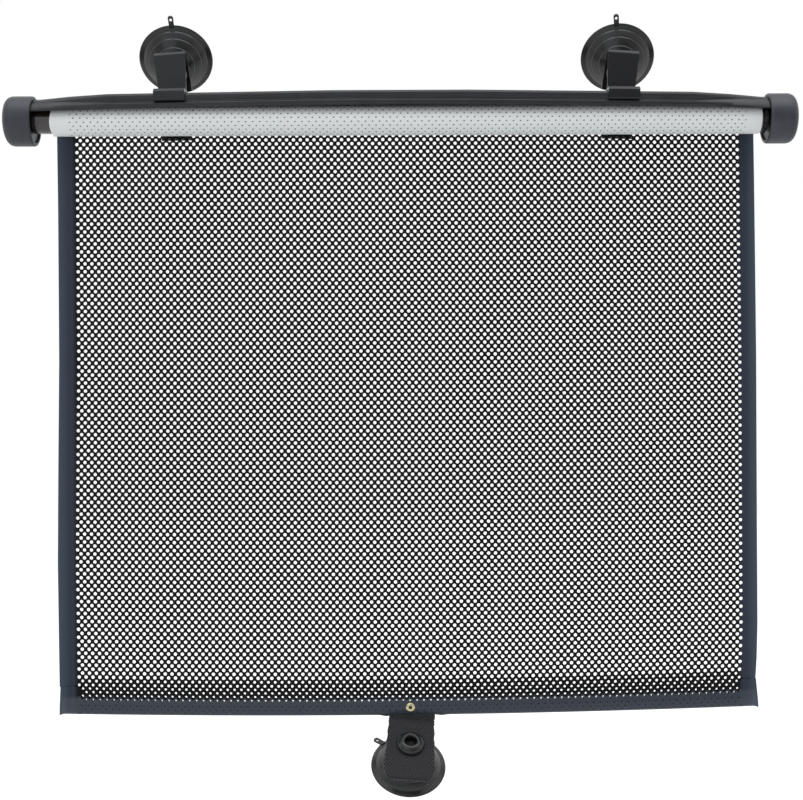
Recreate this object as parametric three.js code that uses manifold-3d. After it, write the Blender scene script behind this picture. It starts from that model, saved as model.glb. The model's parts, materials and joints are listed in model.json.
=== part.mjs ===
// A retractable roller sunshade for a car side window. A perforated film winds on a sprung roller under a
// bowed rail. Its stiffened hem has a pull tab, and three suction cups hold the shade to the glass.
//
// Millimetres. +X runs along the roller towards the release button, +Y towards the glass, +Z up.
// The origin lies on the glass side, midway between the rims of the two upper suction cups.
// Inside the model, sizes are counted from the middle of the roller's axis, and the last group shifts them.

import * as THREE from "three";
import { mergeVertices } from "three/addons/utils/BufferGeometryUtils.js";
import Module from "manifold-3d";

// General
const CLEARANCE = 0.3; // between fitted pieces
const FACETS = 28; // round a turned piece
const FINE_FACETS = 16; // round a small pin or bore

// End caps
const CASE_LENGTH = 494; // over both caps
const CAP_LENGTH = 17.8;
const CAP_RADIUS = 15.5;
const CAP_WALL = 2.1;
const CAP_END_WALL = 2.5;
const CAP_CORNER = 5;
const CAP_BOSS_LENGTH = 6.5;
const CAP_BOSS_WALL = 2.6;
const CAP_RIM_CHAMFER = 0.7;

// Rail
const RAIL_DEPTH = 25.8; // front to back
const RAIL_HEIGHT = 10.1; // lip to top, at the middle
const RAIL_LIP_Z = 7.35; // lip above the roller's axis, at the middle
const RAIL_WALL = 1.3;
const RAIL_GROOVE = 1.2;
const RAIL_INSERTION = 6; // into each cap
const RAIL_BOW = 3.4; // drop of the ends below the middle
const RAIL_NARROWING = 48; // length over which each end narrows to fit the cap
const RAIL_STATIONS = 16;

// Roller
const TUBE_RADIUS = 7.8;
const TUBE_WALL = 0.7;
const TUBE_LEFT_GAP = 0.9; // tube's end inwards of the cap's mouth
const TUBE_RIGHT_GAP = 2.7;
const ROLL_RADIUS = 9.4; // over the wound film
const PIN_RADIUS = 2;
const PIN_REACH = 12; // pin inside the tube
const PLUG_FLANGE = 1.5;
const PLUG_SPIGOT = 16;

// Film
const FILM_LEFT_INSET = 10.3; // film's edge inwards of the tube's end
const FILM_RIGHT_INSET = 1.5;
const FILM_THICKNESS = 0.4;
const HEM_END_Z = -372.6; // lower edge at the film's sides, below the roller's axis
const HEM_HEIGHT = 17.3;
const HEM_BOW = 3.2; // by which the hem's middle hangs lower
const HEM_SLANT = 0.0075; // rise of the hem for each millimetre to the right
const HEM_STEPS = 14;
const HOLE_COLUMNS = 9;
const HOLE_ROWS = 10;
const HOLE_RADIUS = 10;
const HOLE_SIDE_MARGIN = 11;

// Hem bar and rivet
const BAR_HEIGHT = 7.2;
const BAR_THICKNESS = 1.5;
const BAR_INSET = 3.5; // from each side of the film
const BAR_LIFT = 0.8; // free height below the bar
const POCKET_ROOM = 1.2; // free height above the bar
const RIVET_X = 4.8;
const RIVET_BORE = 1.45;
const RIVET_WALL = 0.5;
const RIVET_HEAD_RADIUS = 2.95;
const RIVET_HEAD = 0.7;
const WASHER_RADIUS = 3.4;
const WASHER_THICKNESS = 0.5;

// Pull tab
const TAB_WIDTH = 30.4;
const TAB_THICKNESS = 1;
const TAB_REACH = 43.2; // straight part below the bend
const TAB_ANGLE = 52; // degrees forward of straight down
const TAB_BEND = 4; // radius of the bend at the hem
const TAB_TOP = 3.4; // above the rivet's middle
const TAB_LEAN = 4.5; // degrees to the left
const TAB_SHIFT = 1.4; // tab's middle to the right of the rivet
const TAB_CHAMFER = 6;
const TAB_CUP_PLACE = 17.8; // cup hole below the bend, along the tab

// Suction cups
const CUP_RADIUS = 23.6;
const CUP_REACH = 20; // strap's middle to the rim's face
const CUP_RIM_WIDTH = 1.6;
const CUP_NECK_RADIUS = 3.8;
const CUP_GRIP = 1.1; // half the length of the neck's groove
const CUP_COLLAR_RADIUS = 6.5;
const KNOB_RADIUS = 8.5;
const KNOB_TOP_RADIUS = 4.8;
const KNOB_HEIGHT = 4.9;
const KNOB_BORE = 3.4;
const LOOP_WIDTH = 4.6;
const LOOP_THICKNESS = 1.2;
const LOOP_REACH = 6.5; // beyond the rim
const LOOP_EYE = 1.1;
const LEFT_LOOP_TURN = 91; // degrees round the cup from the right
const RIGHT_LOOP_TURN = 97;
const LOWER_LOOP_TURN = 136;

// Brackets
const LEFT_BRACKET_X = -142.8;
const RIGHT_BRACKET_X = 138.3;
const CLIP_LENGTH = 19.4; // along the rail
const CLIP_WALL = 1.2;
const CLIP_BACK_REACH = 15.8; // back plate below the rail's lip
const PANEL_TOP_WIDTH = 19.5;
const PANEL_FOOT_WIDTH = 17.1;
const PANEL_HEIGHT = 23.4; // from the rail's top to the centre of the fold
const PANEL_WALL = 1.6;
const PANEL_LEAN = 3.4; // degrees outwards
const FOLD_RADIUS = 2.2; // middle of the strip, round the fold
const LEG_LENGTH = 25;
const LEG_ANGLE = 39.2; // degrees back from straight down
const LEG_CUP_PLACE = 12.2; // cup hole below the fold, along the leg

// Lock and springs
const STEM_RADIUS = 1.9;
const STEM_PROUD = 2;
const BUTTON_TRAVEL = 2.5;
const SHOULDER_RADIUS = 3.2;
const SHOULDER_LENGTH = 1.1;
const INSERT_RECESS = 1.3;
const INSERT_THICKNESS = 3;
const HUB_WALL = 1.7;
const HUB_REACH = 24; // lock hub inwards from its disc
const ARBOR_SEAT = 5; // arbor in the lock hub
const ARBOR_LENGTH = 152;
const ARBOR_COLLAR_RADIUS = 3.4;
const ARBOR_COLLAR_LENGTH = 3;
const COLLAR_LENGTH = 3.4;
const COLLAR_WALL = 0.9;
const COLLAR_TEETH = 12;
const CROSS_PIN_RADIUS = 0.7;
const RATCHET_RADIUS = 8.9;
const RATCHET_LENGTH = 2.3;
const RATCHET_TEETH = 12;
const RATCHET_TOOTH_DEPTH = 0.9;
const RATCHET_BORE = 5.6;
const RATCHET_FLOOR = 2;
const BUTTON_SPRING_RADIUS = 1.3;
const BUTTON_SPRING_WIRE = 0.25;
const BUTTON_SPRING_LENGTH = 4.6;
const BUTTON_SPRING_TURNS = 4;
const WINDING_SPRING_RADIUS = 4.5;
const WINDING_SPRING_WIRE = 0.6;
const WINDING_SPRING_TURNS = 20;
const ANCHOR_LENGTH = 10;

// Finishes
const blackPlastic = () => new THREE.MeshStandardMaterial({ color: 0x2a2b2e, roughness: 0.5, metalness: 0 });
const capPlastic = () => new THREE.MeshStandardMaterial({ color: 0x2f3135, roughness: 0.6, metalness: 0 });
const darkTube = () => new THREE.MeshStandardMaterial({ color: 0x2b2626, roughness: 0.3, metalness: 0.4 });
const bareSteel = () => new THREE.MeshStandardMaterial({ color: 0xa8aaad, roughness: 0.35, metalness: 1 });
const brass = () => new THREE.MeshStandardMaterial({ color: 0xc9b88a, roughness: 0.3, metalness: 1 });
const silverFilm = () => new THREE.MeshStandardMaterial({ color: 0xdcdfe0, roughness: 0.45, metalness: 0.1 });
const blackFilm = () => new THREE.MeshStandardMaterial({ color: 0x33373f, roughness: 0.5, metalness: 0 });
const blackRubber = () => new THREE.MeshStandardMaterial({ color: 0x222326, roughness: 0.35, metalness: 0 });
const wovenStrap = () => new THREE.MeshStandardMaterial({ color: 0x2c2d31, roughness: 0.85, metalness: 0 });
const naturalPlastic = () => new THREE.MeshStandardMaterial({ color: 0xe6e2d2, roughness: 0.5, metalness: 0 });

const wasm = await Module();
wasm.setup();

const radians = THREE.MathUtils.degToRad;

// Solids: three.js makes the shapes, and a solid is what can be joined and cut

// A closed geometry as a solid. A profile may run either way round, so faces that point in are turned.
function solidOf(geometry) {
  const bare = geometry.clone();
  bare.deleteAttribute("normal");
  bare.deleteAttribute("uv");
  const merged = mergeVertices(bare, 1e-4);
  const corners = [];
  for (let i = 0; i < merged.index.count; i += 3) {
    const [a, b, c] = [0, 1, 2].map((k) => merged.index.getX(i + k));
    if (a !== b && b !== c && c !== a) corners.push([a, b, c]);
  }
  const build = (faces) =>
    new wasm.Manifold(
      new wasm.Mesh({
        numProp: 3,
        vertProperties: merged.attributes.position.array,
        triVerts: new Uint32Array(faces.flat()),
      }),
    );
  const solid = build(corners);
  return solid.volume() < 0 ? build(corners.map(([a, b, c]) => [a, c, b])) : solid;
}

function geometryOf(solid) {
  const mesh = solid.getMesh();
  const geometry = new THREE.BufferGeometry();
  geometry.setAttribute("position", new THREE.BufferAttribute(mesh.vertProperties, 3));
  geometry.setIndex(new THREE.BufferAttribute(mesh.triVerts, 1));
  geometry.computeVertexNormals();
  return geometry;
}

function piece(name, solid, finish) {
  const mesh = new THREE.Mesh(geometryOf(solid), finish());
  mesh.name = name;
  return mesh;
}

// Turns a geometry made round or along Y so that it lies along X, or stands along Z.
function laid(geometry, along) {
  if (along === "x") geometry.rotateZ(-Math.PI / 2);
  if (along === "z") geometry.rotateX(Math.PI / 2);
  return geometry;
}

function rod(radius, from, to, along = "x", facets = FINE_FACETS) {
  const cylinder = new THREE.CylinderGeometry(radius, radius, to - from, facets);
  return solidOf(laid(cylinder.translate(0, (from + to) / 2, 0), along));
}

function block(low, high) {
  const size = high.map((v, i) => v - low[i]);
  const middle = high.map((v, i) => (v + low[i]) / 2);
  return solidOf(new THREE.BoxGeometry(...size).translate(...middle));
}

// A solid turned from a profile of [radius, place along the axis].
function turned(profile, along = "x", facets = FACETS) {
  const points = profile.map(([r, s]) => new THREE.Vector2(Math.max(r, 0), s));
  return solidOf(laid(new THREE.LatheGeometry(points, facets), along));
}

// A turned ring, whose profile closes on itself.
const ring = (profile, along, facets) => turned([...profile, profile[0]], along, facets);

function shapeOf(outline, holes = []) {
  const shape = new THREE.Shape(outline.map(([a, b]) => new THREE.Vector2(a, b)));
  shape.holes = holes.map((hole) => new THREE.Path(hole.map(([a, b]) => new THREE.Vector2(a, b))));
  return shape;
}

// An outline of [y, z] points, extruded along X and moved up or down by rise(x).
function prism(outline, from, to, { holes = [], steps = 1, rise = () => 0 } = {}) {
  const geometry = new THREE.ExtrudeGeometry(shapeOf(outline, holes), {
    depth: to - from,
    steps,
    bevelEnabled: false,
  });
  const [x, y, z] = [new THREE.Vector3(1, 0, 0), new THREE.Vector3(0, 1, 0), new THREE.Vector3(0, 0, 1)];
  geometry.applyMatrix4(new THREE.Matrix4().makeBasis(y, z, x)).translate(from, 0, 0);
  const place = geometry.attributes.position;
  for (let i = 0; i < place.count; i++) place.setZ(i, place.getZ(i) + rise(place.getX(i)));
  return solidOf(geometry);
}

// An outline of [x, z] points, extruded from the front at y = front to the back.
function panel(outline, front, back, holes = []) {
  const geometry = new THREE.ExtrudeGeometry(shapeOf(outline, holes), {
    depth: back - front,
    bevelEnabled: false,
  });
  return solidOf(geometry.rotateX(Math.PI / 2).translate(0, back, 0));
}

// A solid through outlines of equal length, one for each x.
function loft(stations) {
  const count = stations[0].outline.length;
  const points = stations.flatMap(({ x, outline }) => outline.flatMap(([y, z]) => [x, y, z]));
  const faces = [];
  for (let s = 0; s + 1 < stations.length; s++) {
    for (let i = 0; i < count; i++) {
      const [a, b] = [s * count + i, s * count + ((i + 1) % count)];
      faces.push(a, b, b + count, a, b + count, a + count);
    }
  }
  const end = (outline, first, flip) => {
    const flat = outline.map(([y, z]) => new THREE.Vector2(y, z));
    for (const [a, b, c] of THREE.ShapeUtils.triangulateShape(flat, [])) {
      faces.push(first + a, first + (flip ? c : b), first + (flip ? b : c));
    }
  };
  const clockwise = THREE.ShapeUtils.isClockWise(stations[0].outline.map(([y, z]) => new THREE.Vector2(y, z)));
  end(stations[0].outline, 0, !clockwise);
  end(stations.at(-1).outline, (stations.length - 1) * count, clockwise);
  const geometry = new THREE.BufferGeometry();
  geometry.setAttribute("position", new THREE.Float32BufferAttribute(points, 3));
  geometry.setIndex(faces);
  return solidOf(geometry);
}

// The outline of a strip of one thickness along a path of [y, z] points.
function strip(path, thickness) {
  const side = (sign) =>
    path.map(([y, z], i) => {
      const [y0, z0] = path[Math.max(i - 1, 0)];
      const [y1, z1] = path[Math.min(i + 1, path.length - 1)];
      const long = Math.hypot(y1 - y0, z1 - z0);
      const half = (sign * thickness) / 2;
      return [y - (half * (z1 - z0)) / long, z + (half * (y1 - y0)) / long];
    });
  return [...side(1), ...side(-1).reverse()];
}

// Points on an arc of [y, z], from one angle to another, in degrees from +Y towards +Z.
function arc([y, z], radius, from, to, steps) {
  return Array.from({ length: steps + 1 }, (_, i) => {
    const angle = radians(from + ((to - from) * i) / steps);
    return [y + radius * Math.cos(angle), z + radius * Math.sin(angle)];
  });
}

// A round gear outline with saw teeth.
function sawOutline(teeth, tip, root) {
  return Array.from({ length: teeth * 3 }, (_, i) => {
    const part = i % 3;
    const angle = (2 * Math.PI * (Math.floor(i / 3) + [0, 0.06, 0.55][part])) / teeth;
    const radius = [root, tip, (tip + root) / 2][part];
    return [radius * Math.cos(angle), radius * Math.sin(angle)];
  });
}

const circle = (radius, facets = FACETS) => arc([0, 0], radius, 0, 360, facets).slice(0, -1);

// The middle line of a coil spring along X.
class Coil extends THREE.Curve {
  constructor(radius, from, to, turns) {
    super();
    Object.assign(this, { radius, from, to, turns });
  }

  getPoint(t, target = new THREE.Vector3()) {
    const angle = 2 * Math.PI * this.turns * t;
    const along = this.from + (this.to - this.from) * t;
    return target.set(along, this.radius * Math.cos(angle), this.radius * Math.sin(angle));
  }
}

function coilSpring(radius, wire, from, to, turns, stepsPerTurn, sides) {
  const path = new Coil(radius, from + wire, to - wire, turns);
  const section = shapeOf(circle(wire, sides));
  return solidOf(new THREE.ExtrudeGeometry(section, { steps: turns * stepsPerTurn, extrudePath: path }));
}

// Places that several pieces share, counted along X from the middle of the case
const capOuter = CASE_LENGTH / 2;
const capMouth = capOuter - CAP_LENGTH;
const capFloor = capOuter - CAP_END_WALL;
const capBore = CAP_RADIUS - CAP_WALL;
const bossEnd = capFloor - CAP_BOSS_LENGTH;
const insertInner = capMouth + INSERT_RECESS;
const insertOuter = insertInner + INSERT_THICKNESS;
const railEnd = capMouth + RAIL_INSERTION;
const railEndRadius = capBore - CLEARANCE;
const tubeLeft = -capMouth + TUBE_LEFT_GAP;
const tubeRight = capMouth - TUBE_RIGHT_GAP;
const filmLeft = tubeLeft + FILM_LEFT_INSET;
const filmRight = tubeRight - FILM_RIGHT_INSET;
const filmWidth = filmRight - filmLeft;
const filmCentre = (filmLeft + filmRight) / 2;
const tubeBore = TUBE_RADIUS - TUBE_WALL;
const plugRadius = tubeBore - CLEARANCE;
const pinBore = PIN_RADIUS + CLEARANCE;
const stemBore = STEM_RADIUS + CLEARANCE;
const hubRadius = stemBore + HUB_WALL;

// End caps

// The right cap's profile; the left cap is its mirror image, with a blind seat for the pin.
function endCap(bore, seatDepth) {
  const corner = arc([CAP_RADIUS - CAP_CORNER, capOuter - CAP_CORNER], CAP_CORNER, 90, 0, 6);
  const shell = [
    ...corner,
    [CAP_RADIUS, capMouth + CAP_RIM_CHAMFER],
    [CAP_RADIUS - CAP_RIM_CHAMFER, capMouth],
    [capBore, capMouth],
    [capBore, capFloor],
    [bore + CAP_BOSS_WALL, capFloor],
    [bore + CAP_BOSS_WALL, bossEnd],
    [bore, bossEnd],
  ];
  if (seatDepth === undefined) return ring([[bore, capOuter], ...shell]);
  return turned([[0, capOuter], ...shell, [bore, bossEnd + seatDepth], [0, bossEnd + seatDepth]]);
}

function mirrored(solid) {
  return solidOf(geometryOf(solid).scale(-1, 1, 1));
}

const pinSeat = CAP_BOSS_LENGTH - CLEARANCE;
const leftCap = mirrored(endCap(pinBore, pinSeat));
const rightCap = endCap(stemBore);

// Rail

const railDrop = (x) => RAIL_BOW * (x / railEnd) ** 2;

// Half of the rail's section at the middle, from the front lip to the top: [y, z], outside and inside.
const halfDepth = RAIL_DEPTH / 2;
const railTop = RAIL_LIP_Z + RAIL_HEIGHT;
const outerHalf = [
  [-halfDepth + 0.6, RAIL_LIP_Z],
  [-halfDepth, RAIL_LIP_Z + 1.2],
  [-halfDepth, RAIL_LIP_Z + 2.9],
  [-halfDepth + RAIL_GROOVE, RAIL_LIP_Z + 4],
  [-halfDepth + RAIL_GROOVE, RAIL_LIP_Z + 4.8],
  [-halfDepth + 0.3, RAIL_LIP_Z + 6],
  [-halfDepth + 0.4, railTop - 2.3],
  [-halfDepth + 1.6, railTop - 0.9],
  [-halfDepth + 3.7, railTop - 0.5],
  [-halfDepth / 3, railTop - 0.1],
];
const innerHalf = [
  [-halfDepth + RAIL_WALL + 0.7, RAIL_LIP_Z],
  [-halfDepth + RAIL_WALL + 0.7, RAIL_LIP_Z + 1.2],
  [-halfDepth + RAIL_WALL + 0.7, RAIL_LIP_Z + 2.9],
  [-halfDepth + RAIL_WALL + RAIL_GROOVE, RAIL_LIP_Z + 4],
  [-halfDepth + RAIL_WALL + RAIL_GROOVE, RAIL_LIP_Z + 4.8],
  [-halfDepth + RAIL_WALL + 0.8, RAIL_LIP_Z + 6],
  [-halfDepth + RAIL_WALL + 1, railTop - 1.9 - RAIL_WALL],
  [-halfDepth + RAIL_WALL + 2, railTop - 0.9 - RAIL_WALL],
  [-halfDepth + RAIL_WALL + 3.7, railTop - 0.5 - RAIL_WALL],
  [-halfDepth / 3, railTop - 0.1 - RAIL_WALL],
];
const bothHalves = (half) => [...half, ...half.map(([y, z]) => [-y, z]).reverse()];

// The same points on an arc that fits inside the cap.
function endHalf(half, radius) {
  const lip = Math.asin((RAIL_LIP_Z - RAIL_BOW) / railEndRadius);
  return half.map((_, i) => {
    const angle = lip + ((Math.PI / 2 - lip) * i) / (half.length - 0.5);
    return [-radius * Math.cos(angle), radius * Math.sin(angle) + RAIL_BOW];
  });
}

function railOutline(x) {
  const out = Math.abs(x);
  const narrowing = THREE.MathUtils.smoothstep(out, railEnd - RAIL_NARROWING, railEnd - RAIL_INSERTION);
  const mix = (half, radius) => {
    const fitted = endHalf(half, radius);
    return half.map(([y, z], i) => {
      return [
        THREE.MathUtils.lerp(y, fitted[i][0], narrowing),
        THREE.MathUtils.lerp(z, fitted[i][1], narrowing) - railDrop(x),
      ];
    });
  };
  const outer = bothHalves(mix(outerHalf, railEndRadius));
  const inner = bothHalves(mix(innerHalf, railEndRadius - RAIL_WALL));
  return [...outer, ...inner.reverse()];
}

// Stations lie closer together where the ends narrow.
const railPlaces = Array.from({ length: RAIL_STATIONS + 1 }, (_, i) => {
  const share = (2 * i) / RAIL_STATIONS - 1;
  return railEnd * Math.sign(share) * (1 - (1 - Math.abs(share)) ** 1.5);
});
const rail = loft(railPlaces.map((x) => ({ x, outline: railOutline(x) })));

// Inserts: discs in the cap mouths, cut away where the rail's ends pass

function insertDisc(bore) {
  const inside = railEndRadius - RAIL_WALL - 2 * CLEARANCE;
  const lipZ = RAIL_LIP_Z - RAIL_BOW - 2 * CLEARANCE;
  const wide = capBore - CLEARANCE;
  const lower = rod(wide, insertInner, insertOuter, "x", FACETS).intersect(
    block([insertInner - 1, -CAP_RADIUS, -CAP_RADIUS], [insertOuter + 1, CAP_RADIUS, lipZ]),
  );
  const through = rod(bore, insertInner - 1, insertOuter + 1);
  return rod(inside, insertInner, insertOuter, "x", FACETS).add(lower).subtract(through);
}

// A sleeve from the disc to the cap's boss.
function sleeve(bore, from, to) {
  const outer = bore + HUB_WALL;
  return ring([[bore, from], [outer, from], [outer, to], [bore, to]], "x", FINE_FACETS);
}

const leftInsert = mirrored(insertDisc(pinBore).add(sleeve(pinBore, insertOuter - 0.5, bossEnd - CLEARANCE)));

const hubInner = insertInner - HUB_REACH;
const slotMiddle = hubInner + ARBOR_SEAT + BUTTON_TRAVEL + BUTTON_SPRING_LENGTH + 4;
const slot = block(
  [slotMiddle - BUTTON_TRAVEL - CROSS_PIN_RADIUS - CLEARANCE, -CROSS_PIN_RADIUS - CLEARANCE, -CAP_RADIUS],
  [slotMiddle + CROSS_PIN_RADIUS + CLEARANCE, CROSS_PIN_RADIUS + CLEARANCE, CAP_RADIUS],
);
const rightInsert = insertDisc(stemBore)
  .add(sleeve(stemBore, hubInner, insertInner + 0.5))
  .add(sleeve(SHOULDER_RADIUS + CLEARANCE, insertOuter - 0.5, bossEnd - CLEARANCE))
  .subtract(slot);

// Roller

const tubeProfile = [
  [tubeBore, tubeLeft],
  [TUBE_RADIUS, tubeLeft],
  [TUBE_RADIUS, tubeRight],
  [tubeBore, tubeRight],
];
const rollerTube = ring(tubeProfile);

// The wound film's outer turn ends in a step where the film leaves at the back.
const rollOutline = arc([0, 0], ROLL_RADIUS, 0, 360, 2 * FACETS).map(([y, z], i) => {
  const share = 1 - (FILM_THICKNESS * i) / (2 * FACETS) / ROLL_RADIUS;
  return [y * share, z * share];
});
const filmRoll = prism(rollOutline, filmLeft, filmRight, { holes: [circle(TUBE_RADIUS + CLEARANCE)] });

const pinEnd = tubeLeft + PIN_REACH;
const leftPivotPin = rod(PIN_RADIUS, -bossEnd - pinSeat + CLEARANCE, pinEnd);

const plugProfile = [
  [pinBore, tubeLeft - PLUG_FLANGE],
  [TUBE_RADIUS - 0.2, tubeLeft - PLUG_FLANGE],
  [TUBE_RADIUS - 0.2, tubeLeft - CLEARANCE],
  [plugRadius, tubeLeft - CLEARANCE],
  [plugRadius, tubeLeft + PLUG_SPIGOT],
  [pinBore, tubeLeft + PLUG_SPIGOT],
];
const leftTubePlug = ring(plugProfile);

const ratchetInner = hubInner - CLEARANCE - RATCHET_FLOOR;
const ratchetOuter = tubeRight + CLEARANCE;
const ratchetBody = ring([
  [pinBore, ratchetInner],
  [plugRadius, ratchetInner],
  [plugRadius, ratchetOuter + 0.5],
  [RATCHET_BORE, ratchetOuter + 0.5],
  [RATCHET_BORE, ratchetInner + RATCHET_FLOOR],
  [pinBore, ratchetInner + RATCHET_FLOOR],
]);
const ratchetWheel = prism(
  sawOutline(RATCHET_TEETH, RATCHET_RADIUS, RATCHET_RADIUS - RATCHET_TOOTH_DEPTH),
  ratchetOuter,
  ratchetOuter + RATCHET_LENGTH,
  { holes: [circle(RATCHET_BORE)] },
);
const ratchetPlug = ratchetBody.add(ratchetWheel);

// Winding spring, between an anchor that turns with the tube and a collar on the fixed arbor

const arborEnd = hubInner + ARBOR_SEAT;
const arborStart = arborEnd - ARBOR_LENGTH;
const arborCollarEnd = ratchetInner - 3;
const arborCollarStart = arborCollarEnd - ARBOR_COLLAR_LENGTH;
const springArbor = rod(PIN_RADIUS, arborStart, arborEnd).add(
  rod(ARBOR_COLLAR_RADIUS, arborCollarStart, arborCollarEnd),
);
const anchorStart = arborStart - CLEARANCE;
const anchorEnd = anchorStart + ANCHOR_LENGTH;
const springAnchor = ring([
  [pinBore, anchorStart],
  [plugRadius, anchorStart],
  [plugRadius, anchorEnd],
  [pinBore, anchorEnd],
]);
const windingSpring = coilSpring(
  WINDING_SPRING_RADIUS,
  WINDING_SPRING_WIRE,
  anchorEnd + CLEARANCE,
  arborCollarStart - CLEARANCE,
  WINDING_SPRING_TURNS,
  8,
  4,
);

// Release lock: the button's stem carries a collar on a cross pin, which slides in the hub's slots

const crossPinReach = hubRadius + CLEARANCE + COLLAR_WALL;
const crossBore = rod(CROSS_PIN_RADIUS + CLEARANCE, -CAP_RADIUS, CAP_RADIUS, "z", 12);
const boredAcross = (solid) => solid.subtract(solidOf(geometryOf(crossBore).translate(slotMiddle, 0, 0)));
const stemInner = slotMiddle - 4 + BUTTON_SPRING_WIRE;
const shoulderEnd = bossEnd - 2 * CLEARANCE;
const releaseButton = boredAcross(
  rod(STEM_RADIUS, stemInner, capOuter + STEM_PROUD).add(
    rod(SHOULDER_RADIUS, shoulderEnd - SHOULDER_LENGTH, shoulderEnd),
  ),
);
const lockCrossPin = solidOf(
  geometryOf(rod(CROSS_PIN_RADIUS, -crossPinReach, crossPinReach, "z", 12)).translate(slotMiddle, 0, 0),
);
const collarBore = hubRadius + CLEARANCE;
const lockCollar = boredAcross(
  prism(
    sawOutline(COLLAR_TEETH, collarBore + COLLAR_WALL, collarBore + COLLAR_WALL - 0.4),
    slotMiddle - COLLAR_LENGTH / 2,
    slotMiddle + COLLAR_LENGTH / 2,
    { holes: [circle(collarBore)] },
  ),
);
const buttonSpring = coilSpring(
  BUTTON_SPRING_RADIUS,
  BUTTON_SPRING_WIRE,
  stemInner - CLEARANCE - BUTTON_SPRING_LENGTH,
  stemInner - CLEARANCE,
  BUTTON_SPRING_TURNS,
  8,
  4,
);

// Film: the hanging sheet behind the roll, and the hem's pocket below it

const hemRise = (x) => HEM_SLANT * x - HEM_BOW * (1 - ((2 * (x - filmCentre)) / filmWidth) ** 2);
const hemTop = HEM_END_Z + HEM_HEIGHT;
const pocketDepth = BAR_THICKNESS + TAB_THICKNESS + 3 * CLEARANCE;
const hemDepth = pocketDepth + 2 * FILM_THICKNESS;
const filmFront = ROLL_RADIUS + CLEARANCE;
const filmBack = filmFront + FILM_THICKNESS;
const filmMiddle = (filmFront + filmBack) / 2;

function filmHoles() {
  const wide = filmWidth - 2 * HOLE_SIDE_MARGIN;
  const pitch = wide / (HOLE_COLUMNS + 0.5);
  const rowPitch = -hemTop / (HOLE_ROWS + 0.5);
  return Array.from({ length: HOLE_COLUMNS * HOLE_ROWS }, (_, i) => {
    const [column, row] = [i % HOLE_COLUMNS, Math.floor(i / HOLE_COLUMNS)];
    const x = filmLeft + HOLE_SIDE_MARGIN + pitch * (column + 0.5 + (row % 2) / 2);
    const z = -rowPitch * (row + 0.75);
    return arc([x, z], HOLE_RADIUS, 30, 390, 6).slice(0, -1);
  });
}

const hemLine = Array.from({ length: HEM_STEPS + 1 }, (_, i) => {
  const x = filmLeft + (filmWidth * i) / HEM_STEPS;
  return [x, hemTop + hemRise(x) + CLEARANCE];
});
const filmSheet = panel([...hemLine, [filmRight, 0], [filmLeft, 0]], filmFront, filmBack, filmHoles());

const pocketLow = HEM_END_Z + FILM_THICKNESS + CLEARANCE;
const barLow = pocketLow + BAR_LIFT;
const barHigh = barLow + BAR_HEIGHT;
const barMiddle = (barLow + barHigh) / 2;
const pocketHigh = barHigh + CLEARANCE + POCKET_ROOM;
const pocketFront = filmMiddle - pocketDepth / 2;
const pocketBack = filmMiddle + pocketDepth / 2;
const hemOutline = [
  [filmFront, hemTop],
  [filmBack, hemTop],
  [filmBack, (hemTop + pocketHigh) / 2],
  [filmMiddle + hemDepth / 2, pocketHigh],
  [filmMiddle + hemDepth / 2, HEM_END_Z + FILM_THICKNESS],
  [filmMiddle + hemDepth / 2 - FILM_THICKNESS, HEM_END_Z],
  [filmMiddle - hemDepth / 2 + FILM_THICKNESS, HEM_END_Z],
  [filmMiddle - hemDepth / 2, HEM_END_Z + FILM_THICKNESS],
  [filmMiddle - hemDepth / 2, pocketHigh],
  [filmFront, (hemTop + pocketHigh) / 2],
];
const pocketOutline = [
  [pocketFront, pocketLow],
  [pocketBack, pocketLow],
  [pocketBack, pocketHigh],
  [pocketFront, pocketHigh],
];
const rivetZ = barMiddle + hemRise(RIVET_X);
const shankRadius = RIVET_BORE + RIVET_WALL;
const placed = (solid, x, y, z) => solidOf(geometryOf(solid).translate(x, y, z));
const rivetBore = placed(rod(shankRadius + CLEARANCE, 0, 2 * CAP_RADIUS, "y"), RIVET_X, 0, rivetZ);
const tabHalf = TAB_WIDTH / 2;
const tabX = RIVET_X + TAB_SHIFT;
const tabSlot = block(
  [tabX - tabHalf - 2, pocketFront, HEM_END_Z - HEM_BOW - 2],
  [tabX + tabHalf + 2, pocketFront + TAB_THICKNESS + 2 * CLEARANCE, rivetZ],
);
const filmHem = prism(hemOutline, filmLeft, filmRight, {
  holes: [pocketOutline],
  steps: HEM_STEPS,
  rise: hemRise,
})
  .subtract(rivetBore)
  .subtract(tabSlot);

const barBack = pocketBack - CLEARANCE;
const barFront = barBack - BAR_THICKNESS;
const barOutline = [
  [barFront, barLow],
  [barBack, barLow],
  [barBack, barHigh],
  [barFront, barHigh],
];
const hemBar = prism(barOutline, filmLeft + BAR_INSET, filmRight - BAR_INSET, {
  steps: HEM_STEPS,
  rise: hemRise,
}).subtract(rivetBore);

// Rivet and washer, along Y through the hem

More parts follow.
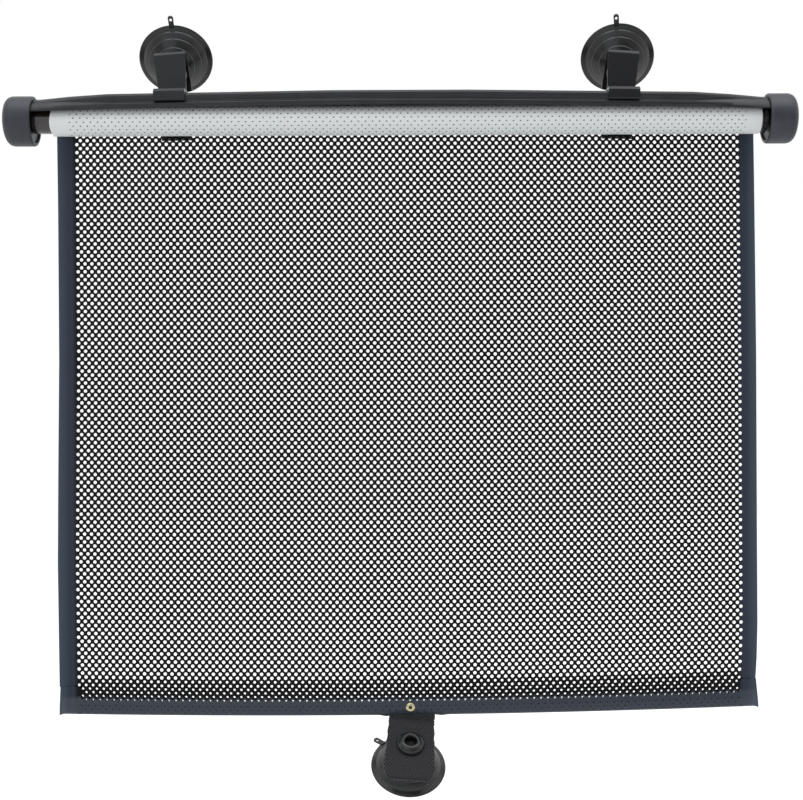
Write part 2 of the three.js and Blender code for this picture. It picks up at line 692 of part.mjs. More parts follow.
const headBack = filmMiddle - hemDepth / 2 - CLEARANCE;
const washerFront = filmMiddle + hemDepth / 2 + CLEARANCE;
const washerBack = washerFront + WASHER_THICKNESS;
const rivetEnd = washerBack + CLEARANCE + RIVET_HEAD;
const rivet = ring(
  [
    [RIVET_BORE, headBack - RIVET_HEAD / 2],
    [RIVET_BORE + 0.5, headBack - RIVET_HEAD],
    [RIVET_HEAD_RADIUS - 0.5, headBack - RIVET_HEAD],
    [RIVET_HEAD_RADIUS, headBack - RIVET_HEAD / 2],
    [RIVET_HEAD_RADIUS, headBack],
    [shankRadius, headBack],
    [shankRadius, washerBack + CLEARANCE],
    [shankRadius + 0.8, washerBack + CLEARANCE],
    [shankRadius + 0.6, rivetEnd],
    [RIVET_BORE, rivetEnd],
  ],
  "y",
  FINE_FACETS,
);
const washer = ring(
  [
    [shankRadius + CLEARANCE, washerFront],
    [WASHER_RADIUS, washerFront],
    [WASHER_RADIUS, washerBack],
    [shankRadius + CLEARANCE, washerBack],
  ],
  "y",
  FINE_FACETS,
);

// Pull tab, counted from its own middle level with the rivet: down inside the pocket, a bend forwards, then straight

const tabY = pocketFront + CLEARANCE + TAB_THICKNESS / 2;
const leanRise = (tabHalf + 2) * Math.sin(radians(TAB_LEAN)) + CLEARANCE;
const bendZ = HEM_END_Z + hemRise(tabX) - rivetZ - leanRise;
const tabBend = arc([tabY - TAB_BEND, bendZ], TAB_BEND, 0, -TAB_ANGLE, 4);
const tabWay = [-Math.sin(radians(TAB_ANGLE)), -Math.cos(radians(TAB_ANGLE))];
const alongTab = (reach) => tabBend.at(-1).map((v, i) => v + reach * tabWay[i]);
const tabStrip = prism(
  strip([[tabY, TAB_TOP], ...tabBend, alongTab(TAB_REACH)], TAB_THICKNESS),
  -tabHalf,
  tabHalf,
);
const tabEnd = alongTab(TAB_REACH);
const cornerCut = (side) => {
  const wedge = [
    [side * (tabHalf - TAB_CHAMFER), tabEnd[1] - 2],
    [side * (tabHalf + 2), tabEnd[1] - 2],
    [side * (tabHalf + 2), tabEnd[1] + TAB_CHAMFER],
    [side * tabHalf, tabEnd[1] + TAB_CHAMFER * 0.8],
    [side * (tabHalf - TAB_CHAMFER), tabEnd[1]],
  ];
  return panel(wedge, tabEnd[0] - 10, tabEnd[0] + 10);
};
const neckBore = CUP_NECK_RADIUS + CLEARANCE;

// A cup stands along Z in its own frame: z = 0 is the middle of its strap, and the rim faces +Z.
// aimed() turns it so that the rim faces towards the given angle below +Y and sets its middle.
function aimed(geometry, below, [y, z]) {
  return geometry.rotateX(-Math.PI / 2 - radians(below)).translate(0, y, z);
}

const tabCupHole = solidOf(
  aimed(geometryOf(rod(neckBore, -5, 5, "z")), TAB_ANGLE, alongTab(TAB_CUP_PLACE)),
);
const tabRivetBore = placed(
  rod(shankRadius + CLEARANCE, 0, 2 * CAP_RADIUS, "y"),
  -TAB_SHIFT * Math.cos(radians(TAB_LEAN)),
  0,
  -TAB_SHIFT * Math.sin(radians(TAB_LEAN)),
);
const pullTab = tabStrip
  .subtract(cornerCut(1))
  .subtract(cornerCut(-1))
  .subtract(tabCupHole)
  .subtract(tabRivetBore);

// Suction cup: a bored knob, a grooved neck, and a ridged bell with a pull loop at its rim

function suctionCup(loopTurn) {
  const rim = CUP_RADIUS;
  const outside = [
    [CUP_COLLAR_RADIUS, CUP_GRIP],
    [CUP_COLLAR_RADIUS, CUP_REACH - 14],
    [rim - 14.5, CUP_REACH - 12.2],
    [rim - 10.9, CUP_REACH - 10],
    [rim - 10.4, CUP_REACH - 9.2],
    [rim - 6.6, CUP_REACH - 6.2],
    [rim - 6, CUP_REACH - 5.4],
    [rim - 3.4, CUP_REACH - 2.6],
    [rim - 2.9, CUP_REACH - 1.7],
    [rim - 0.5, CUP_REACH - 0.9],
    [rim, CUP_REACH - 0.5],
    [rim, CUP_REACH],
  ];
  const inside = [
    [rim - CUP_RIM_WIDTH, CUP_REACH],
    [rim - 4.4, CUP_REACH - 1.6],
    [rim - 8, CUP_REACH - 4.9],
    [rim - 12.4, CUP_REACH - 7.9],
    [rim - 17, CUP_REACH - 9.6],
    [0, CUP_REACH - 10.2],
  ];
  const bell = turned([
    [0, -1],
    [KNOB_BORE, -1],
    [KNOB_BORE, -KNOB_HEIGHT - CUP_GRIP],
    [KNOB_TOP_RADIUS, -KNOB_HEIGHT - CUP_GRIP],
    [KNOB_TOP_RADIUS + 0.5, -KNOB_HEIGHT - CUP_GRIP + 0.8],
    [KNOB_RADIUS, -CUP_GRIP - 1],
    [KNOB_RADIUS, -CUP_GRIP],
    [CUP_NECK_RADIUS, -CUP_GRIP],
    [CUP_NECK_RADIUS, CUP_GRIP],
    ...outside,
    ...inside,
  ], "z");
  const half = LOOP_WIDTH / 2;
  const tip = rim + LOOP_REACH - half;
  const outline = [[rim - CUP_RIM_WIDTH, half], [rim - CUP_RIM_WIDTH, -half]];
  const loopShape = shapeOf([...outline, ...arc([tip, 0], half, -90, 90, 6)], [
    arc([tip, 0], LOOP_EYE, 0, 360, 8).slice(0, -1),
  ]);
  const loop = new THREE.ExtrudeGeometry(loopShape, { depth: LOOP_THICKNESS, bevelEnabled: false })
    .translate(0, 0, CUP_REACH - LOOP_THICKNESS - CLEARANCE)
    .rotateZ(-radians(loopTurn));
  return bell.add(solidOf(loop));
}

// Brackets: a clip over the rail, a panel up from it, a fold, and a leg that slopes down to the back.
// Counted in the rail's section, at the middle of the clip.

const clipOuter = halfDepth + CLEARANCE + CLIP_WALL;
const clipInner = halfDepth + CLEARANCE;
const clipTop = railTop + CLEARANCE + CLIP_WALL;
const clipOutline = [
  [-clipOuter + 0.4, RAIL_LIP_Z + 4],
  [-clipOuter, RAIL_LIP_Z + 4.8],
  [-clipOuter, clipTop - 2],
  [-clipOuter + 2, clipTop],
  [clipOuter - 1.2, clipTop],
  [clipOuter, clipTop - 1.2],
  [clipOuter, RAIL_LIP_Z - CLIP_BACK_REACH],
  [clipInner, RAIL_LIP_Z - CLIP_BACK_REACH],
  [clipInner, railTop - 2.1],
  [clipInner - 1.6, railTop - 0.5],
  [clipInner - 4, railTop - 0.1],
  [halfDepth / 3, railTop + CLEARANCE],
  [-halfDepth / 3, railTop + CLEARANCE],
  [-clipInner + 4, railTop - 0.1],
  [-clipInner + 1.6, railTop - 0.5],
  [-clipInner + 0.1, railTop - 2.1],
  [-clipInner + 0.2, RAIL_LIP_Z + 6],
  [-clipInner + RAIL_GROOVE, RAIL_LIP_Z + 5],
  [-clipInner + RAIL_GROOVE, RAIL_LIP_Z + 4.4],
];
const clip = prism(clipOutline, -CLIP_LENGTH / 2, CLIP_LENGTH / 2);

// The folded strip, counted from the clip's top.
const foldCentre = [PANEL_WALL / 2 + FOLD_RADIUS, PANEL_HEIGHT];
const fold = arc(foldCentre, FOLD_RADIUS, 180, LEG_ANGLE, 8);
const legWay = [Math.sin(radians(LEG_ANGLE)), -Math.cos(radians(LEG_ANGLE))];
const alongLeg = (reach) => fold.at(-1).map((v, i) => v + reach * legWay[i]);
const stripOutline = strip([[PANEL_WALL / 2, -1], ...fold, alongLeg(LEG_LENGTH)], PANEL_WALL);
const flare = PANEL_TOP_WIDTH / 2;

function bracketStrip() {
  const whole = prism(stripOutline, -flare, flare);
  const foot = PANEL_FOOT_WIDTH / 2;
  const side = (sign) =>
    panel(
      [
        [sign * foot, -2],
        [sign * (flare + 2), -2],
        [sign * (flare + 2), PANEL_HEIGHT],
        [sign * flare, PANEL_HEIGHT],
      ],
      -PANEL_WALL,
      PANEL_WALL + 0.1,
    );
  const hole = solidOf(aimed(geometryOf(rod(neckBore, -5, 5, "z")), -LEG_ANGLE, alongLeg(LEG_CUP_PLACE)));
  return whole.subtract(side(1)).subtract(side(-1)).subtract(hole);
}

const folded = bracketStrip();

// A bracket and its cup at a place on the rail, tilted with the rail's slope, its panel leaning outwards.
function bracketSet(side, x, loopTurn) {
  const outwards = Math.sign(x);
  const slope = Math.atan((2 * RAIL_BOW * x) / railEnd ** 2);
  const set = new THREE.Group();
  set.position.set(x, 0, -railDrop(x));
  set.rotation.y = slope;
  const leaning = new THREE.Group();
  leaning.position.z = clipTop;
  leaning.rotation.y = radians(outwards * PANEL_LEAN);
  leaning.updateMatrix();
  const stripThere = solidOf(geometryOf(folded).applyMatrix4(leaning.matrix));
  const cup = piece(`${side}_suction_cup`, suctionCup(loopTurn), blackRubber);
  const [y, z] = alongLeg(LEG_CUP_PLACE);
  cup.position.set(0, y, z);
  cup.rotation.x = -Math.PI / 2 + radians(LEG_ANGLE);
  leaning.add(cup);
  set.add(piece(`${side}_bracket`, clip.add(stripThere), blackPlastic), leaning);
  return set;
}

// Assembly

const caseGroup = new THREE.Group();
caseGroup.add(
  piece("rail", rail, blackPlastic),
  piece("left_end_cap", leftCap, capPlastic),
  piece("right_end_cap", rightCap, capPlastic),
  piece("left_insert", leftInsert, blackPlastic),
  piece("right_insert", rightInsert, blackPlastic),
  piece("left_pivot_pin", leftPivotPin, bareSteel),
  piece("spring_arbor", springArbor, bareSteel),
  piece("winding_spring", windingSpring, bareSteel),
  piece("film_sheet", filmSheet, blackFilm),
);

const roller = new THREE.Group();
roller.add(
  piece("roller_tube", rollerTube, darkTube),
  piece("film_roll", filmRoll, silverFilm),
  piece("left_tube_plug", leftTubePlug, blackPlastic),
  piece("ratchet_plug", ratchetPlug, blackPlastic),
  piece("spring_anchor", springAnchor, naturalPlastic),
);

const release = new THREE.Group();
release.add(
  piece("release_button", releaseButton, blackPlastic),
  piece("lock_cross_pin", lockCrossPin, bareSteel),
  piece("lock_collar", lockCollar, naturalPlastic),
  piece("button_spring", buttonSpring, bareSteel),
);

const tabSet = new THREE.Group();
tabSet.position.set(tabX, 0, rivetZ);
tabSet.rotation.y = radians(TAB_LEAN);
const lowerCup = piece("lower_suction_cup", suctionCup(LOWER_LOOP_TURN), blackRubber);
const [lowerY, lowerZ] = alongTab(TAB_CUP_PLACE);
lowerCup.position.set(0, lowerY, lowerZ);
lowerCup.rotation.x = -Math.PI / 2 - radians(TAB_ANGLE);
tabSet.add(piece("pull_tab", pullTab, wovenStrap), lowerCup);

const hem = new THREE.Group();
const tabRivet = piece("tab_rivet", rivet, brass);
const rivetWasher = piece("rivet_washer", washer, bareSteel);
tabRivet.position.set(RIVET_X, 0, rivetZ);
rivetWasher.position.set(RIVET_X, 0, rivetZ);
hem.add(piece("film_hem", filmHem, blackFilm), piece("hem_bar", hemBar, bareSteel), tabRivet, rivetWasher, tabSet);

// The origin: midway between the upper cups' rims, worked out from the brackets' own sizes.
const rimOffset = (way) => CUP_REACH * way(radians(LEG_ANGLE));
const [cupY, cupZ] = alongLeg(LEG_CUP_PLACE);
const hangY = cupY + rimOffset(Math.cos);
const hangZ = clipTop + cupZ + rimOffset(Math.sin) - railDrop((RIGHT_BRACKET_X - LEFT_BRACKET_X) / 2);

const sunshade = new THREE.Group();
sunshade.position.set(0, -hangY, -hangZ);
sunshade.add(
  caseGroup,
  roller,
  release,
  hem,
  bracketSet("left", LEFT_BRACKET_X, LEFT_LOOP_TURN),
  bracketSet("right", RIGHT_BRACKET_X, RIGHT_LOOP_TURN),
);

export default sunshade;
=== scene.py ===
"""Dressed model of a retractable roller sunshade for a car side window."""

import json
import logging
import math
from collections.abc import Callable, Sequence
from dataclasses import dataclass
from enum import Enum
from typing import Any

import bmesh
import bpy
import numpy as np
from mathutils import Matrix, Vector


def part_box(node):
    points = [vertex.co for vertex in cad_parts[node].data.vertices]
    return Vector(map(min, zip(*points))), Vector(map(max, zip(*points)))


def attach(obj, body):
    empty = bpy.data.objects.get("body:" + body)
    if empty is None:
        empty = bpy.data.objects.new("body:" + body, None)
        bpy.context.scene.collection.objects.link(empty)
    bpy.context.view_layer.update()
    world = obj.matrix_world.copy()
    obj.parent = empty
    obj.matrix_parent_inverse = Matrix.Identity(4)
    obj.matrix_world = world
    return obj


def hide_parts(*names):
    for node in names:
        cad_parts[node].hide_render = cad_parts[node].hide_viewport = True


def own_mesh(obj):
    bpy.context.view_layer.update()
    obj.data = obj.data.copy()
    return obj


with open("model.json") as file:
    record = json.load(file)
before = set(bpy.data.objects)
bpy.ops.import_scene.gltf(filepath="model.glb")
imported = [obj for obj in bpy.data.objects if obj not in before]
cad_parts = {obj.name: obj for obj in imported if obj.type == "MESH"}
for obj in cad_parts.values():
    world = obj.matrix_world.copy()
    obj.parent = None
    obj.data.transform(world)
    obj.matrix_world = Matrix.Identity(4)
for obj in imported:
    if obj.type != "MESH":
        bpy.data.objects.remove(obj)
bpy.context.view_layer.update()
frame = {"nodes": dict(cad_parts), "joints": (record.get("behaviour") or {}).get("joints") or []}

LOG = logging.getLogger("sunshade")
MM = 0.001

Point = tuple[float, float]


class Body(Enum):
    """Moving bodies of the shade, as the frame names them."""

    CASE = "case"
    ROLLER = "roller"
    RELEASE = "release"
    HEM = "hem"
    LOWER_CUP = "lower_cup"
    LEFT_CLIP = "left_clip"
    LEFT_CUP = "left_cup"
    RIGHT_CLIP = "right_clip"
    RIGHT_CUP = "right_cup"


class Side(Enum):
    """Side of the film that a skin shows."""

    CABIN = "black"
    GLASS = "silver"


def linear(hex_colour: str) -> tuple[float, float, float, float]:
    """Turn an sRGB colour to linear RGBA.

    Args:
        hex_colour: Colour as #rrggbb.

    Returns:
        The four linear channels, with alpha 1.
    """
    channels = [int(hex_colour[i : i + 2], 16) / 255 for i in (1, 3, 5)]
    red, green, blue = (c / 12.92 if c <= 0.04045 else ((c + 0.055) / 1.055) ** 2.4 for c in channels)
    return red, green, blue, 1.0


def add_node(
    tree: bpy.types.NodeTree,
    kind: str,
    settings: dict[str, Any] | None = None,
    inputs: dict[str | int, Any] | None = None,
) -> bpy.types.Node:
    """Add a node with its settings and links.

    Args:
        tree: Node tree that gets the node.
        kind: Blender's name of the node type.
        settings: Properties of the node.
        inputs: Value or output socket for each input, by name or number.

    Returns:
        The new node.
    """
    node = tree.nodes.new(kind)
    for name, value in (settings or {}).items():
        setattr(node, name, value)
    for socket, value in (inputs or {}).items():
        if isinstance(value, bpy.types.NodeSocket):
            tree.links.new(value, node.inputs[socket])
        else:
            node.inputs[socket].default_value = value
    return node


def start_surface(name: str, constants: dict[str, Any]) -> tuple[bpy.types.Material, bpy.types.Node]:
    """Start a material that has one principled shader.

    Args:
        name: Name of the finish.
        constants: Values that are the same all over the surface.

    Returns:
        The material and its shader node.
    """
    material = bpy.data.materials.new(name)
    material.use_nodes = True
    tree = material.node_tree
    tree.nodes.clear()
    shader = add_node(tree, "ShaderNodeBsdfPrincipled", inputs=constants)
    add_node(tree, "ShaderNodeOutputMaterial", inputs={"Surface": shader.outputs["BSDF"]})
    return material, shader


def pattern_place(tree: bpy.types.NodeTree) -> bpy.types.NodeSocket:
    """Give the coordinates of the object itself, in metres."""
    return add_node(tree, "ShaderNodeTexCoord").outputs["Object"]


@dataclass(frozen=True)
class MouldedPlastic:
    """Injection-moulded thermoplastic with a spark-eroded grain, rubbed paler in places."""

    name: str
    slot: str
    colour: str
    worn_colour: str
    roughness: float
    grain: float
    depth: float

    def material(self) -> bpy.types.Material:
        """Make the plastic: fine grain breaks up the gloss, handling lightens it in soft patches."""
        material, shader = start_surface(self.name, {"IOR": 1.5})
        tree = material.node_tree
        place = pattern_place(tree)
        handling = add_node(
            tree, "ShaderNodeTexNoise", inputs={"Vector": place, "Scale": 1 / (14 * MM), "Detail": 4.0}
        )
        worn = add_node(
            tree,
            "ShaderNodeMapRange",
            inputs={"Value": handling.outputs["Fac"], "From Min": 0.4, "From Max": 0.75},
        )
        colour = add_node(
            tree,
            "ShaderNodeMix",
            {"data_type": "RGBA"},
            {0: worn.outputs["Result"], 6: linear(self.colour), 7: linear(self.worn_colour)},
        )
        gloss = add_node(
            tree,
            "ShaderNodeMapRange",
            inputs={
                "Value": handling.outputs["Fac"],
                "To Min": self.roughness + 0.07,
                "To Max": self.roughness - 0.07,
            },
        )
        grain = add_node(
            tree, "ShaderNodeTexNoise", inputs={"Vector": place, "Scale": 1 / (self.grain * MM), "Detail": 2.0}
        )
        relief = add_node(
            tree,
            "ShaderNodeBump",
            inputs={"Height": grain.outputs["Fac"], "Distance": self.depth * MM, "Strength": 0.6},
        )
        tree.links.new(colour.outputs[2], shader.inputs["Base Color"])
        tree.links.new(gloss.outputs["Result"], shader.inputs["Roughness"])
        tree.links.new(relief.outputs["Normal"], shader.inputs["Normal"])
        return material


@dataclass(frozen=True)
class SoftVinyl:
    """Plasticised PVC, injection moulded in polished tools, as suction cups are."""

    name: str = "soft_vinyl"
    slot: str = "cup_rubber"
    colour: str = "#09090b"
    bloom_colour: str = "#131518"
    roughness: float = 0.3

    def material(self) -> bpy.types.Material:
        """Make the vinyl: oily gloss with a faint plasticiser bloom, and a surface that is never quite flat."""
        material, shader = start_surface(self.name, {"IOR": 1.53, "Coat Weight": 0.25, "Coat Roughness": 0.18})
        tree = material.node_tree
        place = pattern_place(tree)
        bloom = add_node(
            tree, "ShaderNodeTexNoise", inputs={"Vector": place, "Scale": 1 / (9 * MM), "Detail": 5.0}
        )
        colour = add_node(
            tree,
            "ShaderNodeMix",
            {"data_type": "RGBA"},
            {0: bloom.outputs["Fac"], 6: linear(self.colour), 7: linear(self.bloom_colour)},
        )
        gloss = add_node(
            tree,
            "ShaderNodeMapRange",
            inputs={"Value": bloom.outputs["Fac"], "To Min": self.roughness - 0.1, "To Max": self.roughness + 0.16},
        )
        swell = add_node(
            tree, "ShaderNodeTexNoise", inputs={"Vector": place, "Scale": 1 / (5 * MM), "Detail": 1.0}
        )
        relief = add_node(
            tree, "ShaderNodeBump", inputs={"Height": swell.outputs["Fac"], "Distance": 0.25 * MM, "Strength": 0.5}
        )
        tree.links.new(colour.outputs[2], shader.inputs["Base Color"])
        tree.links.new(gloss.outputs["Result"], shader.inputs["Roughness"])
        tree.links.new(relief.outputs["Normal"], shader.inputs["Normal"])
        return material


@dataclass(frozen=True)
class WovenStrap:
    """Polypropylene webbing, plain woven. Its threads are 0.5 mm apart, and are drawn 1.3 mm apart to show."""

    name: str = "woven_webbing"
    slot: str = "strap"
    colour: str = "#0e0e11"
    crown_highlight_colour: str = "#34343b"
    thread: float = 1.3

    def material(self) -> bpy.types.Material:
        """Make the webbing: crossed ribs painted paler on their crowns, a painted highlight where they catch the light,
        with a soft sheen of fibres.
        """
        constants = {"IOR": 1.49, "Roughness": 0.75, "Sheen Weight": 0.25, "Sheen Roughness": 0.5}
        material, shader = start_surface(self.name, constants)
        tree = material.node_tree
        place = pattern_place(tree)
        turned = add_node(
            tree, "ShaderNodeMapping", inputs={"Vector": place, "Rotation": (0.0, math.radians(45), 0.0)}
        )
        ribs = [
            add_node(
                tree,
                "ShaderNodeTexWave",
                {"bands_direction": axis},
                {"Vector": turned.outputs["Vector"], "Scale": 0.314 / (self.thread * MM), "Distortion": 0.6},
            )
            for axis in ("X", "Z")
        ]
        weave = add_node(
            tree,
            "ShaderNodeMath",
            {"operation": "MULTIPLY"},
            {0: ribs[0].outputs["Fac"], 1: ribs[1].outputs["Fac"]},
        )
        # Paler crowns where the ribs cross: a painted highlight.
        colour = add_node(
            tree,
            "ShaderNodeMix",
            {"data_type": "RGBA"},
            {0: weave.outputs["Value"], 6: linear(self.colour), 7: linear(self.crown_highlight_colour)},
        )
        relief = add_node(
            tree, "ShaderNodeBump", inputs={"Height": weave.outputs["Value"], "Distance": 0.5 * MM}
        )
        tree.links.new(colour.outputs[2], shader.inputs["Base Color"])
        tree.links.new(relief.outputs["Normal"], shader.inputs["Normal"])
        return material


@dataclass(frozen=True)
class CalenderedFilm:
    """Calendered PVC film, pigmented black on one side and coated with aluminium flake on the other."""

    name: str
    slot: str
    colour: str
    margin_colour: str
    edge_colour: str
    roughness: float
    metallic: float = 0.0
    specular: float = 0.5
    web_reach: float = 209.5
    edge_reach: float = 221.0

    def material(self) -> bpy.types.Material:
        """Make the film: satin, faintly streaked along its web, paler where the margins curl to the light."""
        constants = {"IOR": 1.54, "Metallic": self.metallic, "Specular IOR Level": self.specular}
        material, shader = start_surface(self.name, constants)
        tree = material.node_tree
        place = pattern_place(tree)
        across = add_node(tree, "ShaderNodeSeparateXYZ", inputs={"Vector": place})
        centred = add_node(
            tree,
            "ShaderNodeMath",
            {"operation": "SUBTRACT"},
            {0: across.outputs["X"], 1: FILM.centre * MM},
        )
        reach = add_node(tree, "ShaderNodeMath", {"operation": "ABSOLUTE"}, {0: centred.outputs["Value"]})
        margin = add_node(
            tree,
            "ShaderNodeMapRange",
            inputs={
                "Value": reach.outputs["Value"],
                "From Min": self.web_reach * MM,
                "From Max": (self.web_reach + 3) * MM,
            },
        )
        outer = add_node(
            tree,
            "ShaderNodeMapRange",
            inputs={
                "Value": reach.outputs["Value"],
                "From Min": (self.web_reach + 5) * MM,
                "From Max": self.edge_reach * MM,
            },
        )
        # Margin and edge colours: on the black side a painted sheen where the margins curl to the light; on the turns
        # under the roll's outer one, true silver beside a middle painted grey as shade.
        web = add_node(
            tree,
            "ShaderNodeMix",
            {"data_type": "RGBA"},
            {0: margin.outputs["Result"], 6: linear(self.colour), 7: linear(self.margin_colour)},
        )
        colour = add_node(
            tree,
            "ShaderNodeMix",
            {"data_type": "RGBA"},
            {0: outer.outputs["Result"], 6: web.outputs[2], 7: linear(self.edge_colour)},
        )
        stretched = add_node(
            tree, "ShaderNodeMapping", inputs={"Vector": place, "Scale": (1.0, 1.0, 0.15)}
        )
        streaks = add_node(
            tree,
            "ShaderNodeTexNoise",
            inputs={"Vector": stretched.outputs["Vector"], "Scale": 1 / (11 * MM), "Detail": 4.0},
        )
        gloss = add_node(
            tree,
            "ShaderNodeMapRange",
            inputs={
                "Value": streaks.outputs["Fac"],
                "To Min": self.roughness - 0.08,
                "To Max": self.roughness + 0.08,
            },
        )
        relief = add_node(
            tree,
            "ShaderNodeBump",
            inputs={"Height": streaks.outputs["Fac"], "Distance": 0.2 * MM, "Strength": 0.35},
        )
        tree.links.new(colour.outputs[2], shader.inputs["Base Color"])
        tree.links.new(gloss.outputs["Result"], shader.inputs["Roughness"])
        tree.links.new(relief.outputs["Normal"], shader.inputs["Normal"])
        return material


@dataclass(frozen=True)
class Metal:
    """Plain metal with drawing or rolling lines and a little tarnish."""

    name: str
    slot: str
    colour: str
    tarnish_colour: str
    roughness: float
    line: float = 0.8

    def material(self) -> bpy.types.Material:
        """Make the metal: bright, with fine lines along X and dull spots that break up its reflection."""
        material, shader = start_surface(self.name, {"Metallic": 1.0})
        tree = material.node_tree
        place = pattern_place(tree)
        drawn = add_node(tree, "ShaderNodeMapping", inputs={"Vector": place, "Scale": (0.08, 1.0, 1.0)})
        lines = add_node(
            tree,
            "ShaderNodeTexNoise",
            inputs={"Vector": drawn.outputs["Vector"], "Scale": 1 / (self.line * MM), "Detail": 3.0},
        )
        spots = add_node(
            tree, "ShaderNodeTexNoise", inputs={"Vector": place, "Scale": 1 / (1.5 * MM), "Detail": 3.0}
        )
        tarnish = add_node(
            tree,
            "ShaderNodeMapRange",
            inputs={"Value": spots.outputs["Fac"], "From Min": 0.45, "From Max": 0.75},
        )
        colour = add_node(
            tree,
            "ShaderNodeMix",
            {"data_type": "RGBA"},
            {0: tarnish.outputs["Result"], 6: linear(self.colour), 7: linear(self.tarnish_colour)},
        )
        gloss = add_node(
            tree,
            "ShaderNodeMapRange",
            inputs={
                "Value": lines.outputs["Fac"],
                "To Min": self.roughness - 0.08,
                "To Max": self.roughness + 0.12,
            },
        )
        tree.links.new(colour.outputs[2], shader.inputs["Base Color"])
        tree.links.new(gloss.outputs["Result"], shader.inputs["Roughness"])
        return material


@dataclass(frozen=True)
class Lacquer:
    """Dark stoving lacquer on a steel tube, dipped, with a trace of orange peel."""

    name: str = "stoved_lacquer"
    slot: str = "painted_tube"
    colour: str = "#1c1614"
    thin_colour: str = "#33261f"

    def material(self) -> bpy.types.Material:
        """Make the lacquer: a hard clear gloss over brown-black, thinner and browner in places."""
        constants = {"IOR": 1.5, "Roughness": 0.35, "Coat Weight": 1.0, "Coat Roughness": 0.08}
        material, shader = start_surface(self.name, constants)
        tree = material.node_tree
        place = pattern_place(tree)
        flow = add_node(tree, "ShaderNodeTexNoise", inputs={"Vector": place, "Scale": 1 / (4 * MM), "Detail": 3.0})
        colour = add_node(
            tree,
            "ShaderNodeMix",
            {"data_type": "RGBA"},
            {0: flow.outputs["Fac"], 6: linear(self.colour), 7: linear(self.thin_colour)},
        )
        relief = add_node(
            tree, "ShaderNodeBump", inputs={"Height": flow.outputs["Fac"], "Distance": 0.1 * MM, "Strength": 0.3}
        )
        tree.links.new(colour.outputs[2], shader.inputs["Base Color"])
        tree.links.new(relief.outputs["Normal"], shader.inputs["Normal"])
        tree.links.new(relief.outputs["Normal"], shader.inputs["Coat Normal"])
        return material


@dataclass(frozen=True)
class PaperWhite:
    """Seamless background paper, which the camera sees as white and which keeps the shade's shadow."""

    name: str = "background_paper"
    slot: str = ""
    colour: str = "#f4f4f4"
    glow: float = 0.4

    def material(self) -> bpy.types.Material:
        """Make the paper: matt white with a faint tooth, lifted to white for the camera alone."""
        material, shader = start_surface(self.name, {"Roughness": 0.9, "Emission Color": (1.0, 1.0, 1.0, 1.0)})
        tree = material.node_tree
        rays = add_node(tree, "ShaderNodeLightPath")
        seen = add_node(
            tree,
            "ShaderNodeMath",
            {"operation": "MULTIPLY"},
            {0: rays.outputs["Is Camera Ray"], 1: self.glow},
        )
        tooth = add_node(
            tree, "ShaderNodeTexNoise", inputs={"Vector": pattern_place(tree), "Scale": 1 / (3 * MM)}
        )
        paper = add_node(
            tree,
            "ShaderNodeMix",
            {"data_type": "RGBA"},
            {0: tooth.outputs["Fac"], 6: linear(self.colour), 7: linear("#fbfbfb")},
        )
        tree.links.new(paper.outputs[2], shader.inputs["Base Color"])
        tree.links.new(seen.outputs["Value"], shader.inputs["Emission Strength"])
        return material


def round_corners(profile: Sequence[Point], radius: float) -> list[Point]:
    """Replace each inner corner of a line by three points on a small curve.

    Args:
        profile: The line's points.
        radius: How far from the corner the curve starts, at most.

    Returns:
        The rounded line.
    """
    points = [Vector(p) for p in profile]
    made = [points[0]]
    for before, corner, after in zip(points, points[1:], points[2:]):
        start = corner + (before - corner).normalized() * min(radius, (before - corner).length * 0.45)
        end = corner + (after - corner).normalized() * min(radius, (after - corner).length * 0.45)
        made += [start, start * 0.25 + corner * 0.5 + end * 0.25, end]
    return [(p.x, p.y) for p in [*made, points[-1]]]


def build_mesh(
    name: str, points: np.ndarray, faces: Sequence[Sequence[int]] | np.ndarray, finish: bpy.types.Material
) -> bpy.types.Object:
    """Make a smooth mesh object and give it its finish.

    Args:
        name: Name of the piece.
        points: Its points in metres, in the row frame.
        faces: Point numbers of each face.
        finish: Its material.

    Returns:
        The object, linked to the scene.
    """
    mesh = bpy.data.meshes.new(name)
    mesh.from_pydata(points.tolist(), [], faces.tolist() if isinstance(faces, np.ndarray) else faces)
    mesh.shade_smooth()
    mesh.materials.append(finish)
    piece = bpy.data.objects.new(name, mesh)
    bpy.context.scene.collection.objects.link(piece)
    return piece


def grid_faces(rows: int, columns: int, closed: bool = False) -> list[tuple[int, int, int, int]]:
    """Number the faces of a grid of points.

    Args:
        rows: Rows of points.
        columns: Points in each row.
        closed: Whether the last column joins the first one.

    Returns:
        Four point numbers for each face.
    """
    last = columns if closed else columns - 1
    return [
        (r * columns + c, r * columns + (c + 1) % columns, (r + 1) * columns + (c + 1) % columns, (r + 1) * columns + c)
        for r in range(rows - 1)
        for c in range(last)
    ]


def lathe(
    name: str,
    profile: Sequence[Point],
    centre: Vector,
    axis: Vector,
    finish: bpy.types.Material,
    steps: int = 96,
) -> bpy.types.Object:
    """Turn a profile round an axis.

    Args:
        name: Name of the piece.
        profile: Radius and height along the axis of each point, in millimetres.
        centre: Point on the axis where the height is zero, in metres.
        axis: The axis.
        finish: The piece's material.
        steps: Points in one turn.

    Returns:
        The turned piece.
    """
    right, up = across_axis(axis)
    turn = np.linspace(0, 2 * math.pi, steps, endpoint=False)
    around = np.outer(np.cos(turn), right) + np.outer(np.sin(turn), up)
    rings = [np.array(centre) + np.array(axis) * h * MM + around * max(r, 0.01) * MM for r, h in profile]
    return build_mesh(name, np.concatenate(rings), grid_faces(len(profile), steps, closed=True), finish)


def across_axis(axis: Vector) -> tuple[Vector, Vector]:
    """Give the directions to the right of an axis and upwards from it, as seen along it."""
    right = (Vector((1, 0, 0)) - axis * axis.x).normalized()
    return right, right.cross(axis).normalized()


